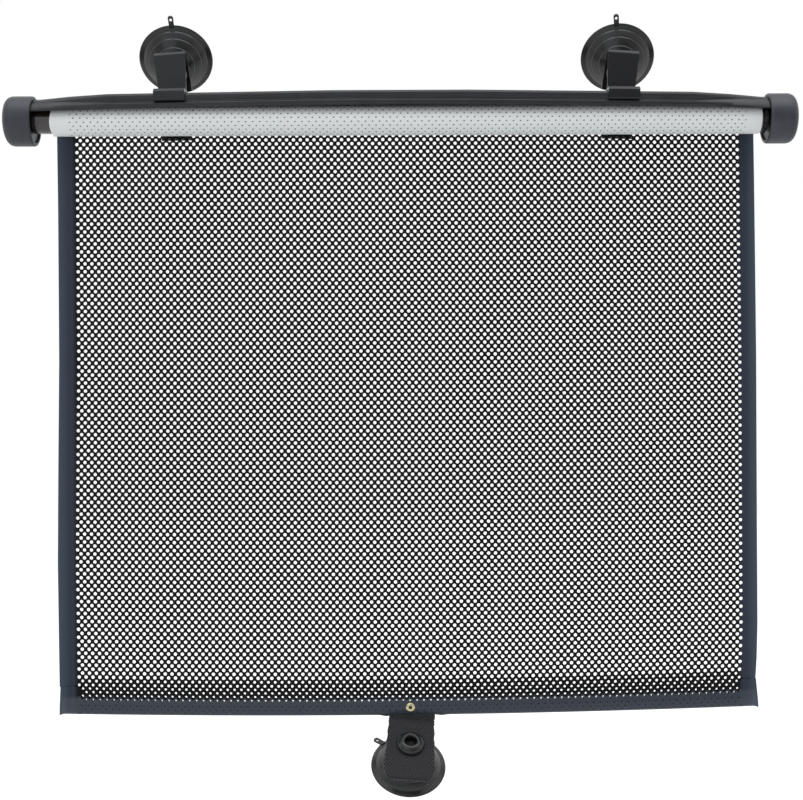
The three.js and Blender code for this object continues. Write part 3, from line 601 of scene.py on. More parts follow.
def place_piece(piece: bpy.types.Object, body: Body, slot: str, *nodes: str) -> bpy.types.Object:
    """Fix a finished piece to its body and hide the nodes that it stands for.

    Args:
        piece: The piece, in place.
        body: Body that it moves with.
        slot: Material slot of the record; not used.
        nodes: Nodes that it replaces.

    Returns:
        The piece.
    """
    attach(piece, body.value)
    if nodes:
        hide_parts(*nodes)
    faces = len(piece.data.polygons) if piece.type == "MESH" else 0
    LOG.info("%s: rides on %s, %d faces, stands for %s", piece.name, body.value, faces, nodes or "nothing")
    return piece


@dataclass(frozen=True)
class Perforation:
    """Staggered round holes of the film, in millimetres."""

    column_pitch: float = 4.38
    hole_radius: float = 1.13
    columns: int = 97
    corners: int = 8

    def panel(
        self, rows: int, margins: tuple[Sequence[float], Sequence[float]], size: Callable[[int], float]
    ) -> tuple[np.ndarray, np.ndarray, np.ndarray]:
        """Lay out a flat perforated panel with plain margins.

        Each hole lies in a diamond between four points of the lattice. An even row has one hole more than an odd
        one. Lengths across are in half column pitches from the first hole, and lengths up in rows.

        Args:
            rows: Rows of holes, an odd number.
            margins: Distances of the margins' point columns outwards from the lattice, left and right.
            size: Share of the full hole size in each row.

        Returns:
            Lattice places, offsets from them in millimetres, and triangles.
        """
        last = 2 * (self.columns - 1)
        places: list[tuple[float, float]] = []
        offsets: list[tuple[float, float]] = []
        faces: list[tuple[int, int, int]] = []
        known: dict[tuple[int, int], int] = {}

        def corner(i: int, j: int) -> int:
            """Give the number of a lattice point, and make it at its first use."""
            if (i, j) not in known:
                known[i, j] = len(places)
                places.append((i, j))
                offsets.append((0.0, 0.0))
            return known[i, j]

        for j in range(rows):
            reach = self.hole_radius * size(j)
            for i in range(j % 2, last + 1, 2):
                first = len(places)
                for k in range(self.corners):
                    angle = 2 * math.pi * k / self.corners
                    places.append((i, j))
                    offsets.append((reach * math.cos(angle), reach * math.sin(angle)))
                diamond = [corner(i + 1, j), corner(i, j + 1), corner(i - 1, j), corner(i, j - 1)]
                for k, here in enumerate(diamond):
                    there = diamond[(k + 1) % 4]
                    a, b, c = first + 2 * k, first + 2 * k + 1, first + (2 * k + 2) % self.corners
                    faces += [(here, there, b), (here, b, a), (there, c, b)]
        for j in range(1, rows, 2):
            for low, high in ((j - 1, j), (j, j + 1)):
                faces.append((corner(-1, high), corner(-1, low), corner(0, j)))
                faces.append((corner(last + 1, low), corner(last + 1, high), corner(last, j)))
        for i in range(1, last, 2):
            faces.append((corner(i - 1, -1), corner(i + 1, -1), corner(i, 0)))
            faces.append((corner(i + 1, rows), corner(i - 1, rows), corner(i, rows - 1)))
        heights = list(range(-1, rows + 1))
        for end, inner, out in ((-1, 0, -1), (last + 1, last, 1)):
            flip = slice(None, None, -out)
            faces.append((corner(end, -1), corner(inner, -1), corner(end, 0))[flip][::-1])
            faces.append((corner(end, rows), corner(end, rows - 1), corner(inner, rows))[flip][::-1])
            column = [corner(end, j) for j in heights]
            for distance in margins[0 if out < 0 else 1]:
                start = len(places)
                places += [(end, j) for j in heights]
                offsets += [(out * distance, 0.0)] * len(heights)
                for k in range(len(heights) - 1):
                    a, b, c, d = start + k, column[k], column[k + 1], start + k + 1
                    faces += [(a, b, c)[::-out], (a, c, d)[::-out]]
                column = list(range(start, start + len(heights)))
        return np.array(places, float), np.array(offsets), np.array(faces)


@dataclass(frozen=True)
class FilmPlan:
    """Sizes of the film and its hem in millimetres, from the middle of the roller's axis."""

    left: float = -218.0
    right: float = 225.0
    first_hole: float = -205.7
    front: float = 9.72
    back: float = 10.0
    hem_low: float = -372.6
    hem_height: float = 17.3
    hem_bow: float = 3.2
    hem_slant: float = 0.0075
    draw: float = 340.0

    @property
    def centre(self) -> float:
        """Middle of the film's width."""
        return (self.left + self.right) / 2

    @property
    def hem_top(self) -> float:
        """Height of the hem's upper edge, without its rise."""
        return self.hem_low + self.hem_height

    def rise(self, x: np.ndarray) -> np.ndarray:
        """Give the height of the bowed and slanted hem at x."""
        return self.hem_slant * x - self.hem_bow * (1 - (2 * (x - self.centre) / (self.right - self.left)) ** 2)

    def start(self, perforation: Perforation) -> float:
        """Give the place of a panel's first hole, half a pitch further in where it has a column less."""
        return self.first_hole + (PERFORATION.columns - perforation.columns) * perforation.column_pitch / 2

    def lattice_x(self, places: np.ndarray, offsets: np.ndarray, perforation: Perforation) -> np.ndarray:
        """Give the place across the film of each point."""
        return self.start(perforation) + places[:, 0] * perforation.column_pitch / 2 + offsets[:, 0]

    def margins(self, perforation: Perforation, steps: int = 6) -> tuple[list[float], list[float]]:
        """Give the places of the margins' columns, out from the last holes.

        Args:
            perforation: The film's holes.
            steps: Columns in each margin.

        Returns:
            Distances for the left and for the right margin.
        """
        left = self.start(perforation) - perforation.column_pitch / 2 - self.left
        right = self.right - self.start(perforation) - (perforation.columns - 0.5) * perforation.column_pitch
        return tuple([wide * k / steps for k in range(1, steps + 1)] for wide in (left, right))


FILM = FilmPlan()
PERFORATION = Perforation()


def row_height(rows: np.ndarray, count: int, pitch: float) -> np.ndarray:
    """Give the height of lattice rows above the first one, with both end lines half a pitch out.

    Args:
        rows: Row number of each point.
        count: Rows of holes.
        pitch: Distance between rows.

    Returns:
        Heights in millimetres.
    """
    return np.clip(rows, -0.5, count - 0.5) * pitch


def roller_axis() -> Vector:
    """Give the middle of the roller's axis, in metres."""
    low, high = (Vector(corner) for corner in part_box("roller_tube"))
    return Vector((0.0, (low.y + high.y) / 2, (low.z + high.z) / 2))


def from_roller(x: np.ndarray, y: np.ndarray, z: np.ndarray) -> np.ndarray:
    """Turn millimetres from the roller's axis to metres in the row frame."""
    return np.column_stack([x, y, z]) * MM + np.array(roller_axis())


@dataclass(frozen=True)
class Finishes:
    """The shade's finishes, each made once."""

    cap_abs: bpy.types.Material
    rail_abs: bpy.types.Material
    clip_nylon: bpy.types.Material
    natural_nylon: bpy.types.Material
    drawn_steel: bpy.types.Material
    brass: bpy.types.Material
    lacquer: bpy.types.Material
    film_black: bpy.types.Material
    film_hem: bpy.types.Material
    film_silver: bpy.types.Material
    under_layer: bpy.types.Material
    webbing: bpy.types.Material
    vinyl: bpy.types.Material

    @classmethod
    def make(cls) -> "Finishes":
        """Make all the materials."""
        return cls(
            # Spark-eroded ABS: matt grey-black that turns pale under a light from above.
            cap_abs=MouldedPlastic("moulded_abs", "cap_plastic", "#33363e", "#3d4149", 0.42, 0.9, 0.03).material(),
            # Extruded ABS: smoother along the rail.
            rail_abs=MouldedPlastic("extruded_abs", "rail_plastic", "#1a1c20", "#24272c", 0.4, 1.6, 0.02).material(),
            # Glossier nylon for springy clips.
            clip_nylon=MouldedPlastic(
                "moulded_nylon", "bracket_plastic", "#0e0e12", "#16181c", 0.34, 1.4, 0.02
            ).material(),
            # Uncoloured nylon: waxy, yellowish white.
            natural_nylon=MouldedPlastic(
                "natural_nylon", "natural_plastic", "#e4dfcd", "#cfc7ae", 0.45, 1.2, 0.02
            ).material(),
            # Cold drawn steel: grey with lines along the rod.
            drawn_steel=Metal("drawn_steel", "steel", "#b9bbbd", "#8f9092", 0.34).material(),
            # Polished tubular rivet brass, a little dulled.
            brass=Metal("rivet_brass", "brass", "#e6dcb0", "#a99a63", 0.24).material(),
            lacquer=Lacquer().material(),
            # Black side of the film: navy-grey satin. Its margins, and their outer edges more, are painted paler than
            # the webs: a painted sheen where they curl to the light.
            film_black=CalenderedFilm(
                "film_black_side", "film_black", "#07080b", "#343a47", "#46525f", 0.5, specular=0.15
            ).material(),
            # Black side in the hem, where the bar stretches it smooth and glossier; its paler navy-grey is a painted
            # sheen where the film curves over the bar.
            film_hem=CalenderedFilm(
                "film_hem_sheen_side", "film_black", "#343b47", "#3a414d", "#434e5b", 0.4, specular=0.4
            ).material(),
            # Silver side of the film: aluminium flake in clear PVC.
            film_silver=CalenderedFilm(
                "film_silver_side", "film_silver", "#f3f7f7", "#f3f6f5", "#f3f6f5", 0.5, metallic=0.05
            ).material(),
            # Turns under the outer one, seen through its holes: their middle is painted grey, partly painted shade in
            # the holes and partly the holes of deeper turns; their ends keep the pale silver.
            under_layer=CalenderedFilm(
                "film_under_turn_shaded", "film_silver", "#6d777b", "#e3e8e8", "#e3e8e8", 0.6, metallic=0.05
            ).material(),
            webbing=WovenStrap().material(),
            vinyl=SoftVinyl().material(),
        )


@dataclass
class Studio:
    """Camera, lamps, world and floor, in metres."""

    camera_from_roller: tuple[float, float, float] = (-0.00005, -0.85, -0.1758)
    camera_roll: float = -0.235
    focal_pixels: float = 1353.5
    image_width: int = 803
    floor_z: float = -0.56
    ambient: float = 0.75
    dark_side: float = 0.2

    def set_camera(self) -> None:
        """Put the camera level with the middle of the film, looking straight along +Y."""
        data = bpy.data.cameras.new("camera")
        data.sensor_width = 36.0
        data.lens = self.focal_pixels * data.sensor_width / self.image_width
        data.clip_start = 0.05
        camera = bpy.data.objects.new("camera", data)
        turn = Matrix.Rotation(math.radians(90), 4, "X") @ Matrix.Rotation(math.radians(self.camera_roll), 4, "Z")
        camera.matrix_world = Matrix.Translation(roller_axis() + Vector(self.camera_from_roller)) @ turn
        bpy.context.scene.collection.objects.link(camera)
        bpy.context.scene.camera = camera

    def hang_lamp(
        self, name: str, place: tuple[float, float, float], aim: tuple[float, float, float], size: Point, power: float
    ) -> None:
        """Hang one soft box.

        Args:
            name: Name of the lamp.
            place: Where it hangs.
            aim: Point that it faces.
            size: Its width and height.
            power: Its power in watts.
        """
        data = bpy.data.lights.new(name, "AREA")
        data.shape = "RECTANGLE"
        data.size, data.size_y = size
        data.energy = power
        data.color = (0.93, 0.97, 1.0)
        lamp = bpy.data.objects.new(name, data)
        lamp.location = place
        lamp.rotation_euler = (Vector(aim) - Vector(place)).to_track_quat("-Z", "Y").to_euler()
        bpy.context.scene.collection.objects.link(lamp)

    def set_world(self) -> None:
        """Surround the shade with light that is weaker from the cabin, and show the camera plain white."""
        world = bpy.data.worlds.new("studio_room")
        world.use_nodes = True
        tree = world.node_tree
        tree.nodes.clear()
        rays = add_node(tree, "ShaderNodeLightPath")
        seen = add_node(
            tree,
            "ShaderNodeMath",
            {"operation": "MAXIMUM"},
            {0: rays.outputs["Is Camera Ray"], 1: rays.outputs["Is Glossy Ray"]},
        )
        through = add_node(
            tree,
            "ShaderNodeMath",
            {"operation": "MAXIMUM"},
            {0: seen.outputs["Value"], 1: rays.outputs["Is Transmission Ray"]},
        )
        way = add_node(tree, "ShaderNodeTexCoord").outputs["Generated"]
        lit = add_node(tree, "ShaderNodeVectorMath", {"operation": "DOT_PRODUCT"}, {0: way, 1: (0.0, 0.75, 0.65)})
        room = add_node(
            tree,
            "ShaderNodeMapRange",
            {"interpolation_type": "SMOOTHSTEP"},
            {
                "Value": lit.outputs["Value"],
                "From Min": -0.75,
                "From Max": 0.25,
                "To Min": self.dark_side,
                "To Max": 1.0,
            },
        )
        even = add_node(
            tree,
            "ShaderNodeMix",
            {"data_type": "FLOAT"},
            {0: rays.outputs["Is Glossy Ray"], 2: 1.0, 3: room.outputs["Result"]},
        )
        dimmed = add_node(
            tree, "ShaderNodeMath", {"operation": "MULTIPLY"}, {0: room.outputs["Result"], 1: self.ambient}
        )
        strength = add_node(
            tree,
            "ShaderNodeMix",
            {"data_type": "FLOAT"},
            {0: through.outputs["Value"], 2: dimmed.outputs["Value"], 3: even.outputs[0]},
        )
        light = add_node(
            tree,
            "ShaderNodeBackground",
            inputs={"Color": (1.0, 1.0, 1.0, 1.0), "Strength": strength.outputs[0]},
        )
        add_node(tree, "ShaderNodeOutputWorld", inputs={"Surface": light.outputs["Background"]})
        bpy.context.scene.world = world

    def lay_floor(self) -> None:
        """Lay a wide sheet of white paper below the shade."""
        steps = 9
        side = np.linspace(-3.0, 3.0, steps)
        x, y = np.meshgrid(side, side)
        points = np.column_stack([x.ravel(), y.ravel(), np.full(x.size, self.floor_z)])
        floor = build_mesh("floor", points, grid_faces(steps, steps), PaperWhite().material())

    def build(self) -> None:
        """Set up the whole studio."""
        scene = bpy.context.scene
        scene.view_settings.view_transform = "Standard"
        self.set_camera()
        self.set_world()
        self.hang_lamp("soft_box_above", (0.05, -0.35, 0.85), (0.0, 0.0, -0.15), (1.3, 0.8), 5.5)
        self.hang_lamp("soft_box_front", (-0.55, -1.5, 0.15), (0.0, 0.0, -0.2), (1.2, 1.0), 2.4)
        self.lay_floor()
        LOG.info("studio: camera, two lamps, world and floor")


@dataclass
class HangingFilm:
    """The drawn sheet of film: a black skin towards the cabin and a silver one towards the glass."""

    finishes: Finishes
    rows: int = 141
    row_pitch: float = 2.51
    margin_curl: float = 0.9
    # Above the hem the turned-up film reaches over two rows, and its holes don't quite meet those in front.
    welded_rows: int = 2
    welded_hole: float = 0.78
    ripple: float = 0.5
    # Sideways shift of each edge down the sheet, as share of the drop and millimetres.
    left_wander: tuple[Point, ...] = ((0, 0), (0.15, 0.5), (0.42, 0.8), (0.6, 0.1), (0.78, -0.5), (1, 0.3))
    right_wander: tuple[Point, ...] = ((0, -1.2), (0.1, -0.8), (0.42, 0.1), (0.9, 0.3), (0.96, -0.3), (1, -1.2))

    def skin(self, side: Side) -> bpy.types.Object:
        """Build one skin of the sheet.

        Args:
            side: Which side of the film it is.

        Returns:
            The skin.
        """
        places, offsets, faces = PERFORATION.panel(
            self.rows, FILM.margins(PERFORATION), lambda j: self.welded_hole if j < self.welded_rows else 1.0
        )
        x = FILM.lattice_x(places, offsets, PERFORATION)
        up = row_height(places[:, 1], self.rows, self.row_pitch) + offsets[:, 1] + self.row_pitch / 2
        drop = 1 - up / -FILM.hem_top
        z = drop * (FILM.hem_top + FILM.rise(x))
        across = (x - FILM.left) / (FILM.right - FILM.left)
        left = np.interp(drop, *zip(*self.left_wander))
        right = np.interp(drop, *zip(*self.right_wander))
        from_edge = np.minimum(x - FILM.left, FILM.right - x)
        curl = self.margin_curl * np.clip(1 - from_edge / 5.0, 0, 1) ** 2
        wave = self.ripple * np.sin(np.pi * np.clip(drop, 0, 1)) * np.sin(x / 47.0 + 3 * drop)
        y = (FILM.front if side is Side.CABIN else FILM.back) - curl + wave
        if side is Side.GLASS:
            faces = faces[:, ::-1]
        finish = self.finishes.film_black if side is Side.CABIN else self.finishes.film_silver
        points = from_roller(x + left * (1 - across) + right * across, y, z)
        return build_mesh(f"film_{side.value}_skin", points, faces, finish)

    def build(self) -> list[bpy.types.Object]:
        """Build both skins and fix them to the case."""
        front, back = self.skin(Side.CABIN), self.skin(Side.GLASS)
        for skin, slot in ((front, "film_black"), (back, "film_silver")):
            place_piece(skin, Body.CASE, slot, "film_sheet")
            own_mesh(skin)
        return [front, back]


@dataclass
class WoundFilm:
    """The turns left on the roller: a perforated outer turn, silver side out, over plain inner ones."""

    finishes: Finishes
    radius: float = 9.4
    under_radius: float = 9.14
    tube_radius: float = 7.8
    rows: int = 23
    edge_turns: int = 6
    # The turn below fills each hole but for a shaded crescent.
    shown_hole: float = 0.5

    def build(self) -> None:
        """Build the outer turn and the turns below it."""
        places, offsets, faces = PERFORATION.panel(self.rows, FILM.margins(PERFORATION, 4), lambda j: self.shown_hole)
        x = FILM.lattice_x(places, offsets, PERFORATION)
        turn = 2 * math.pi * (places[:, 1] + 1) / (self.rows + 1) + offsets[:, 1] * 0.75 / self.radius
        wander = 0.35 * np.sin(3.1 * turn) * np.clip(-(x + 212) / 6, 0, 1)
        points = from_roller(x + wander, self.radius * np.cos(turn), self.radius * np.sin(turn))
        outer = build_mesh("film_outer_turn", points, faces[:, ::-1], self.finishes.film_silver)
        place_piece(outer, Body.ROLLER, "film_silver", "film_roll")
        steps = 96
        angle = np.linspace(0, 2 * math.pi, steps, endpoint=False)
        ends = np.linspace(self.tube_radius, self.under_radius, self.edge_turns)
        # The turns' edges lie a few tenths of a millimetre in or out of line, like a loosely wound roll's.
        uneven = (0.0, 0.5, -0.2, 0.35, 0.1, 0.3)
        line = [(FILM.left + 0.4 + u, r) for r, u in zip(ends, uneven)]
        line += [(FILM.right - 0.4 - u, r) for r, u in zip(ends[::-1], uneven[::-1])]
        rings = [from_roller(np.full(steps, lx), r * np.cos(angle), r * np.sin(angle)) for lx, r in line]
        under = build_mesh(
            "film_inner_turns",
            np.concatenate(rings),
            grid_faces(len(line), steps, closed=True),
            self.finishes.under_layer,
        )
        place_piece(under, Body.ROLLER, "film_silver", "film_roll")


@dataclass
class Hem:
    """The film's folded lower edge, welded round a stiffening bar, with the rivet's bulge in it."""

    finishes: Finishes
    holes: Perforation = Perforation(columns=96)
    # Heights above the hem's foot: of the fold, the seven rows of holes and the weld.
    row_heights: tuple[float, ...] = (-1.2, 1.2, 3.5, 5.9, 9.2, 11.5, 13.8, 16.1, 17.3)
    bar_band: float = 10.2
    rivet_x: float = 4.8
    slit: float = 16.2
    slit_x: float = 6.2
    # Holes shrink over the bar, where the film bends away, and less where two layers nearly match.
    front_holes: tuple[float, ...] = (0.3, 0.34, 0.4, 0.66, 0.72, 0.74, 0.76)
    back_holes: tuple[float, ...] = (0.3, 0.34, 0.4, 0.66, 0.72, 0.74, 0.76)
    # Height above the hem's foot along the film, and the film's front and back there.
    face: tuple[tuple[float, float, float], ...] = (
        (-1.2, 9.9, 10.0),
        (-0.7, 8.9, 11.3),
        (0.0, 8.3, 12.0),
        (1.6, 8.1, 12.1),
        (2.4, 7.75, 12.1),
        (5.0, 7.55, 12.1),
        (8.2, 7.75, 12.0),
        (9.2, 8.5, 11.6),
        (11.0, 9.1, 11.0),
        (15.2, 9.4, 10.6),
        (15.6, 9.2, 10.6),
        (19.0, 9.45, 10.35),
    )
    crease: float = 4.8
    crease_depth: float = 0.7
    corner_width: float = 3.5
    corner_plane: float = 9.8
    narrowing: float = 1.5
    # The rivet draws the front out round it: how far, how wide, and how high above the foot.
    swell: float = 1.0
    swell_width: float = 8.0
    swell_height: float = 1.6
    swell_place: float = 9.6

    def layer(self, side: Side) -> bpy.types.Object:
        """Build one layer of the hem.

        Args:
            side: Front layer or back layer.

        Returns:
            The layer.
        """
        sizes = self.front_holes if side is Side.CABIN else self.back_holes
        margins = FILM.margins(self.holes, 12)
        rows = len(sizes)
        places, offsets, faces = self.holes.panel(rows, margins, lambda j: sizes[j])
        x = FILM.lattice_x(places, offsets, self.holes)
        up = np.interp(places[:, 1], range(-1, rows + 1), self.row_heights) + offsets[:, 1]
        high = np.interp(up, (-1.2, -0.7, 0.0, 1.6, 20.0), (0.0, 0.1, 0.5, 1.8, 20.2))
        heights, front, back = (np.array(column) for column in zip(*self.face))
        y = np.interp(up, heights, front if side is Side.CABIN else back)
        across = (x - self.rivet_x) / self.swell_width
        near_rivet = np.exp(-(across**2) - ((up - self.swell_place) / self.swell_height) ** 2)
        y = y - self.swell * near_rivet if side is Side.CABIN else y
        from_left, from_right = x - FILM.left, FILM.right - x
        end = np.clip(1 - from_left / self.corner_width, 0, 1) + np.clip(1 - from_right / self.corner_width, 0, 1)
        y = y + (self.corner_plane - y) * np.clip(1.6 * end, 0, 1) * 0.8
        fold = np.exp(-((np.minimum(from_left, from_right) - self.crease) ** 2) / 0.5) * np.clip(up / 3, 0, 1)
        y = y - self.crease_depth * fold if side is Side.CABIN else y
        slit = np.clip(2.5 - np.abs(np.abs(x - self.slit_x) - self.slit), 0, 1) * np.clip(1 - up / 2, 0, 1)
        z = FILM.hem_low + FILM.rise(x) + high - 1.0 * end**2 * np.clip(1 - up / 6, 0, 1) - 0.8 * slit
        share = (x - FILM.left) / (FILM.right - FILM.left)
        flare = (up / 17 - 0.6) * self.narrowing
        shift = (0.3 + 0.4 * flare) * (1 - share) - flare * share
        if side is Side.GLASS:
            faces = faces[:, ::-1]
        points = from_roller(x + shift, y, z)
        name = f"hem_{'front' if side is Side.CABIN else 'back'}_layer"
        layer = build_mesh(name, points, faces, self.finishes.film_hem)
        layer.data.materials.append(self.finishes.film_black)
        # Below this height the film takes the paler hem finish: a painted sheen over the bar.
        above = up[faces].mean(axis=1) > self.bar_band
        layer.data.polygons.foreach_set("material_index", above.astype(np.int32))
        return layer

    def build(self) -> list[bpy.types.Object]:
        """Build both layers of the hem."""
        layers = [self.layer(Side.CABIN), self.layer(Side.GLASS)]
        for layer in layers:
            place_piece(layer, Body.HEM, "film_black", "film_hem")
        return layers


@dataclass
class PullTab:
    """The woven strap riveted in the hem, bent forward over the lower cup, with frayed corners."""

    finishes: Finishes
    width: float = 30.4
    thickness: float = 1.0
    rivet: tuple[float, float, float] = (4.8, 9.0, -370.66)
    shift: float = 1.4
    top: float = 3.4
    bend_start: float = -6.74
    bend_radius: float = 4.0
    bend: float = 52.0
    reach: float = 43.2
    lean: float = 4.5
    taper: float = 1.5
    chamfer: float = 5.5

    def path(self) -> list[Point]:
        """Give the strap's middle line as depth and height from the rivet."""
        depth = self.rivet[1]
        line = [(depth, z) for z in np.linspace(self.top, self.bend_start, 6)]
        centre = depth - self.bend_radius
        for step in range(1, 9):
            angle = math.radians(self.bend) * step / 8
            line.append(
                (
                    centre + self.bend_radius * math.cos(angle),
                    self.bend_start - self.bend_radius * math.sin(angle),
                )
            )
        angle = math.radians(self.bend)
        (y, z), count = line[-1], 18
        for step in range(1, count + 1):
            run = self.reach * step / count
            sag = 0.5 * math.sin(math.pi * step / count)
            line.append((y - run * math.sin(angle) - sag * 0.7, z - run * math.cos(angle) + sag * 0.7))
        return line

    def place(self, x: float, y: float, z: float) -> Vector:
        """Lean a point of the strap and give it in the row frame."""
        angle = math.radians(self.lean)
        leant_x = self.rivet[0] + self.shift + x * math.cos(angle) + z * math.sin(angle)
        leant_z = self.rivet[2] + z * math.cos(angle) - x * math.sin(angle)
        return Vector((leant_x, y, leant_z)) * MM + roller_axis()

    def strap(self) -> bpy.types.Object:
        """Build the strap with its cut corners."""
        line = self.path()
        across = 17
        points = []
        for k, (y, z) in enumerate(line):
            run = (len(line) - 1 - k) / 18 * self.reach
            half = self.width / 2 - max(0.0, self.chamfer - run) * 0.75
            half += self.taper * (0.5 - min(run / self.reach, 1.0))
            half += 0.25 * math.sin(k * 1.7)
            for c in range(across):
                x = half * (2 * c / (across - 1) - 1)
                edge = max(0.0, abs(2 * c / (across - 1) - 1) - 0.85) * 2.2
                points.append(self.place(x, y - edge, z))
        strap = build_mesh("pull_tab_strap", np.array(points), grid_faces(len(line), across), self.finishes.webbing)
        thick = strap.modifiers.new("thickness", "SOLIDIFY")
        thick.thickness = self.thickness * MM
        thick.offset = 0.0
        return strap

    def threads(self) -> bpy.types.Object:
        """Build the loose thread ends at the strap's lower corners."""
        y, z = self.path()[-1]
        curve = bpy.data.curves.new("pull_tab_threads", "CURVE")
        curve.dimensions = "3D"
        curve.bevel_depth = 0.14 * MM
        starts = ((-11.4, 1.0, -1.6, -0.7), (-11.0, 0.2, -0.8, -2.0), (11.2, 0.6, 1.9, -0.9), (10.8, 0.0, 0.9, -2.1))
        for x, up, dx, dz in starts:
            spline = curve.splines.new("POLY")
            spline.points.add(4)
            for k, point in enumerate(spline.points):
                share = k / 4
                bend = 0.5 * math.sin(2.5 * share)
                place = self.place(x + dx * share + bend * 0.3, y - bend, z + up + dz * share)
                point.co = (*place, 1.0)
        threads = bpy.data.objects.new("pull_tab_threads", curve)
        curve.materials.append(self.finishes.webbing)
        bpy.context.scene.collection.objects.link(threads)
        return threads

    def rivet_head(self) -> bpy.types.Object:
        """Build the tubular rivet with its rolled rim and open bore."""
        head, bore, flange = -2.2, 1.0, 2.95
        profile = [(bore, 4.7), (bore, head + 0.5), (1.2, head + 0.1), (1.6, head), (2.3, head + 0.05)]
        profile += [(2.8, head + 0.3), (flange, head + 0.6), (2.7, head + 0.75)]
        profile += [(1.5, head + 0.7), (1.5, 4.7), (bore, 4.7)]
        centre = self.place(-self.shift, self.rivet[1], 0.0)
        return lathe("brass_rivet", round_corners(profile, 0.2), centre, Vector((0, 1, 0)), self.finishes.brass, 48)

    def build(self) -> bpy.types.Object:
        """Build the strap, its threads and the rivet."""
        strap = self.strap()
        place_piece(strap, Body.HEM, "strap", "pull_tab")
        place_piece(self.threads(), Body.HEM, "strap")
        place_piece(self.rivet_head(), Body.HEM, "brass", "tab_rivet")
        return strap


@dataclass
class SuctionCup:
    """A ridged vinyl cup with a knob through the strip that holds it and a pull loop on its rim."""

    finishes: Finishes
    name: str
    joint: str
    body: Body
    loop_turn: float
    # Radius and height from the middle of the strip: bore, domed knob, neck, stepped bell, rim and inside.
    profile: tuple[Point, ...] = (
        (0, 4),
        (3.2, 3.4),
        (3.5, -5.2),
        (4.1, -5.9),
        (4.9, -6.1),
        (6.4, -5.5),
        (7.7, -4.3),
        (8.4, -3),
        (8.6, -1.9),
        (8.2, -1.2),
        (3.8, -1.1),
        (3.8, 1.1),
        (6.5, 1.2),
        (6.6, 5.8),
        (9.1, 7.8),
        (12.6, 9.9),
        (12.7, 10.4),
        (13.1, 10.7),
        (16.9, 13.7),
        (17, 14.3),
        (17.4, 14.5),
        (20.1, 17.2),
        (20.2, 17.8),
        (20.6, 18.1),
        (23.1, 19.1),
        (23.6, 19.5),
        (23.6, 20),
        (22, 20),
        (19.2, 18.4),
        (15.6, 15.1),
        (11.2, 12.1),
        (6.6, 10.4),
        (0, 9.8),
    )
    loop_reach: float = 6.5
    loop_width: float = 4.4
    loop_back: float = 0.0

    def hinge(self) -> tuple[Vector, Vector]:
        """Give the point and the axis round which the cup turns."""
        joint = next(j for j in frame["joints"] if j["name"] == self.joint)
        return Vector(joint["pos_m"]), Vector(joint["axis"]).normalized()

    def loop(self) -> bpy.types.Object:
        """Build the pull loop: a tongue with a slot, out from the rim."""
        centre, axis = self.hinge()
        right, up = across_axis(axis)
        angle = math.radians(self.loop_turn)
        out = right * math.cos(angle) + up * math.sin(angle)
        side = out.cross(axis)
        steps, half = 32, self.loop_width / 2
        start, end = 22.6, 23.6 + self.loop_reach - half
        ring: list[list[Point]] = [[], []]
        for k in range(steps):
            turn = 2 * math.pi * k / steps
            narrow = 0.5 + 0.5 * (math.cos(turn) + 1) / 2
            base = end if math.cos(turn) > 0 else start
            ring[0].append((base + half * max(math.cos(turn), -0.2), half * narrow * math.sin(turn)))
            ring[1].append((end - 0.4 + 1.1 * math.cos(turn), 0.85 * math.sin(turn)))
        layers = [(ring[0], 18.2), (ring[0], 19.7), (ring[1], 19.7), (ring[1], 18.2), (ring[0], 18.2)]
        points = [
            centre + (out * reach + side * wide + axis * (height - self.loop_back * (reach - start))) * MM
            for outline, height in layers
            for reach, wide in outline
        ]
        loop = build_mesh(f"{self.name}_loop", np.array(points), grid_faces(5, steps, closed=True), self.finishes.vinyl)
        soften_edges(loop, 0.45)
        return loop

    def build(self) -> None:
        """Build the cup and its loop."""
        centre, axis = self.hinge()
        body = lathe(self.name, round_corners(self.profile, 0.45), centre, axis, self.finishes.vinyl)
        place_piece(body, self.body, "cup_rubber", self.node)
        place_piece(self.loop(), self.body, "cup_rubber", self.node)

    @property
    def node(self) -> str:
        """Name of the CAD node that the cup stands for."""
        return self.name.replace("_cup_body", "_suction_cup")


def soften_edges(piece: bpy.types.Object, width: float, crease: float = 35.0) -> None:
    """Round the sharp edges of a piece and keep its flats flat.

    Args:
        piece: The piece.
        width: Width of the rounding in millimetres.
        crease: Least angle of an edge that is rounded, in degrees.
    """
    mesh = bmesh.new()
    mesh.from_mesh(piece.data)
    bmesh.ops.remove_doubles(mesh, verts=mesh.verts, dist=1e-6)
    bmesh.ops.dissolve_limit(mesh, angle_limit=math.radians(0.5), verts=mesh.verts, edges=mesh.edges)
    sharp = [e for e in mesh.edges if len(e.link_faces) == 2 and e.calc_face_angle(0) > math.radians(crease)]
    bmesh.ops.bevel(mesh, geom=sharp, offset=width * MM, segments=2, profile=0.5, affect="EDGES", clamp_overlap=True)
    for face in mesh.faces:
        face.smooth = True
    for edge in mesh.edges:
        edge.smooth = edge.calc_face_angle(0) < math.radians(50)
    mesh.to_mesh(piece.data)
    mesh.free()
    shading = piece.modifiers.new("flat_shading", "WEIGHTED_NORMAL")
    shading.keep_sharp = True


@dataclass
class MouldedPart:
    """A rigid part of the case, its edges rounded as its tool leaves them."""

    node: str
    body: Body
    slot: str
    finish: bpy.types.Material
    edge: float

    def build(self) -> bpy.types.Object:
        """Build the part on the shape of its node."""
        data = frame["nodes"][self.node].data.copy()
        data.materials.clear()
        data.materials.append(self.finish)
        part = bpy.data.objects.new(f"{self.node}_moulding", data)
        bpy.context.scene.collection.objects.link(part)
        soften_edges(part, self.edge)
        return place_piece(part, self.body, self.slot, self.node)


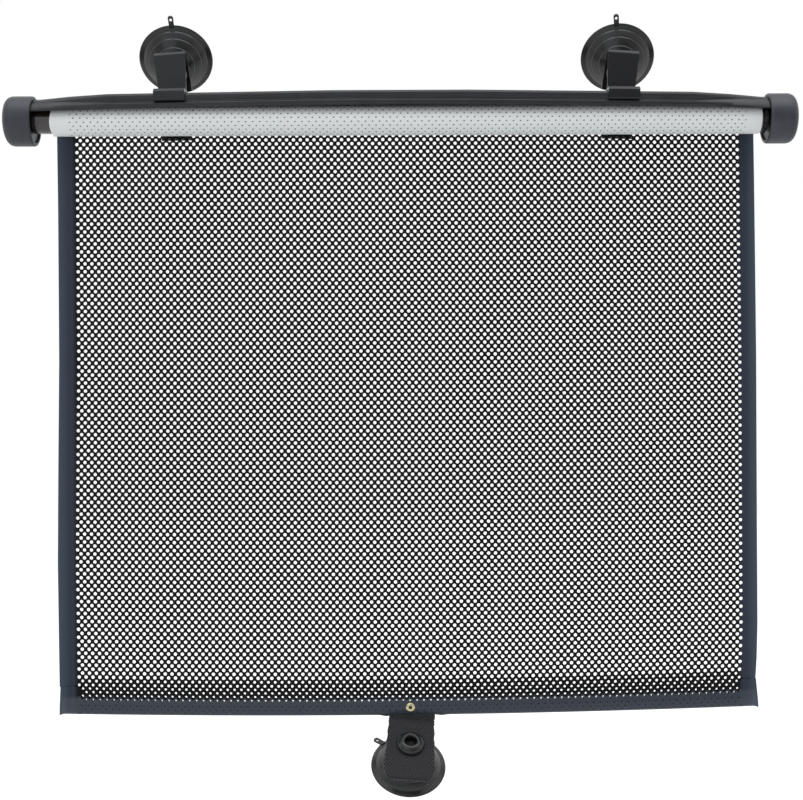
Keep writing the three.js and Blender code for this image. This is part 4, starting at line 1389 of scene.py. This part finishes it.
@dataclass
class Mechanism:
    """The inner parts, which keep their solids and get their finishes."""

    finishes: Finishes

    def build(self) -> None:
        """Dress each listed inner node in its finish."""
        dress = {
            self.finishes.rail_abs: ("left_insert", "right_insert", "left_tube_plug"),
            self.finishes.drawn_steel: (
                "left_pivot_pin",
                "spring_arbor",
                "winding_spring",
                "lock_cross_pin",
                "button_spring",
                "hem_bar",
                "rivet_washer",
            ),
            self.finishes.natural_nylon: ("spring_anchor", "lock_collar"),
        }
        for finish, nodes in dress.items():
            for name in nodes:
                data = frame["nodes"][name].data
                if data.materials:
                    for number in range(len(data.materials)):
                        frame["nodes"][name].material_slots[number].material = finish
                else:
                    data.materials.append(finish)
                LOG.info("%s: dressed in %s", name, finish.name)


def build_case(finishes: Finishes) -> None:
    """Build the case's mouldings, the tube and the release button."""
    parts = (
        MouldedPart("rail", Body.CASE, "rail_plastic", finishes.rail_abs, 0.35),
        MouldedPart("left_end_cap", Body.CASE, "cap_plastic", finishes.cap_abs, 0.4),
        MouldedPart("right_end_cap", Body.CASE, "cap_plastic", finishes.cap_abs, 0.4),
        MouldedPart("left_bracket", Body.LEFT_CLIP, "bracket_plastic", finishes.clip_nylon, 0.35),
        MouldedPart("right_bracket", Body.RIGHT_CLIP, "bracket_plastic", finishes.clip_nylon, 0.35),
        MouldedPart("roller_tube", Body.ROLLER, "painted_tube", finishes.lacquer, 0.2),
        MouldedPart("ratchet_plug", Body.ROLLER, "rail_plastic", finishes.rail_abs, 0.15),
        MouldedPart("release_button", Body.RELEASE, "cap_plastic", finishes.cap_abs, 0.3),
    )
    for part in parts:
        part.build()


def main() -> None:
    """Build the studio and the shade, piece by piece."""
    logging.basicConfig(level=logging.INFO, format="%(message)s")
    Studio().build()
    finishes = Finishes.make()
    build_case(finishes)
    Mechanism(finishes).build()
    WoundFilm(finishes).build()
    front, back = HangingFilm(finishes).build()
    layers = Hem(finishes).build()
    strap = PullTab(finishes).build()
    SuctionCup(finishes, "left_cup_body", "left_cup_turn", Body.LEFT_CUP, 91).build()
    SuctionCup(finishes, "right_cup_body", "right_cup_turn", Body.RIGHT_CUP, 97).build()
    SuctionCup(finishes, "lower_cup_body", "lower_cup_turn", Body.LOWER_CUP, 136, loop_back=-0.3).build()


if __name__ == "__main__":
    main()
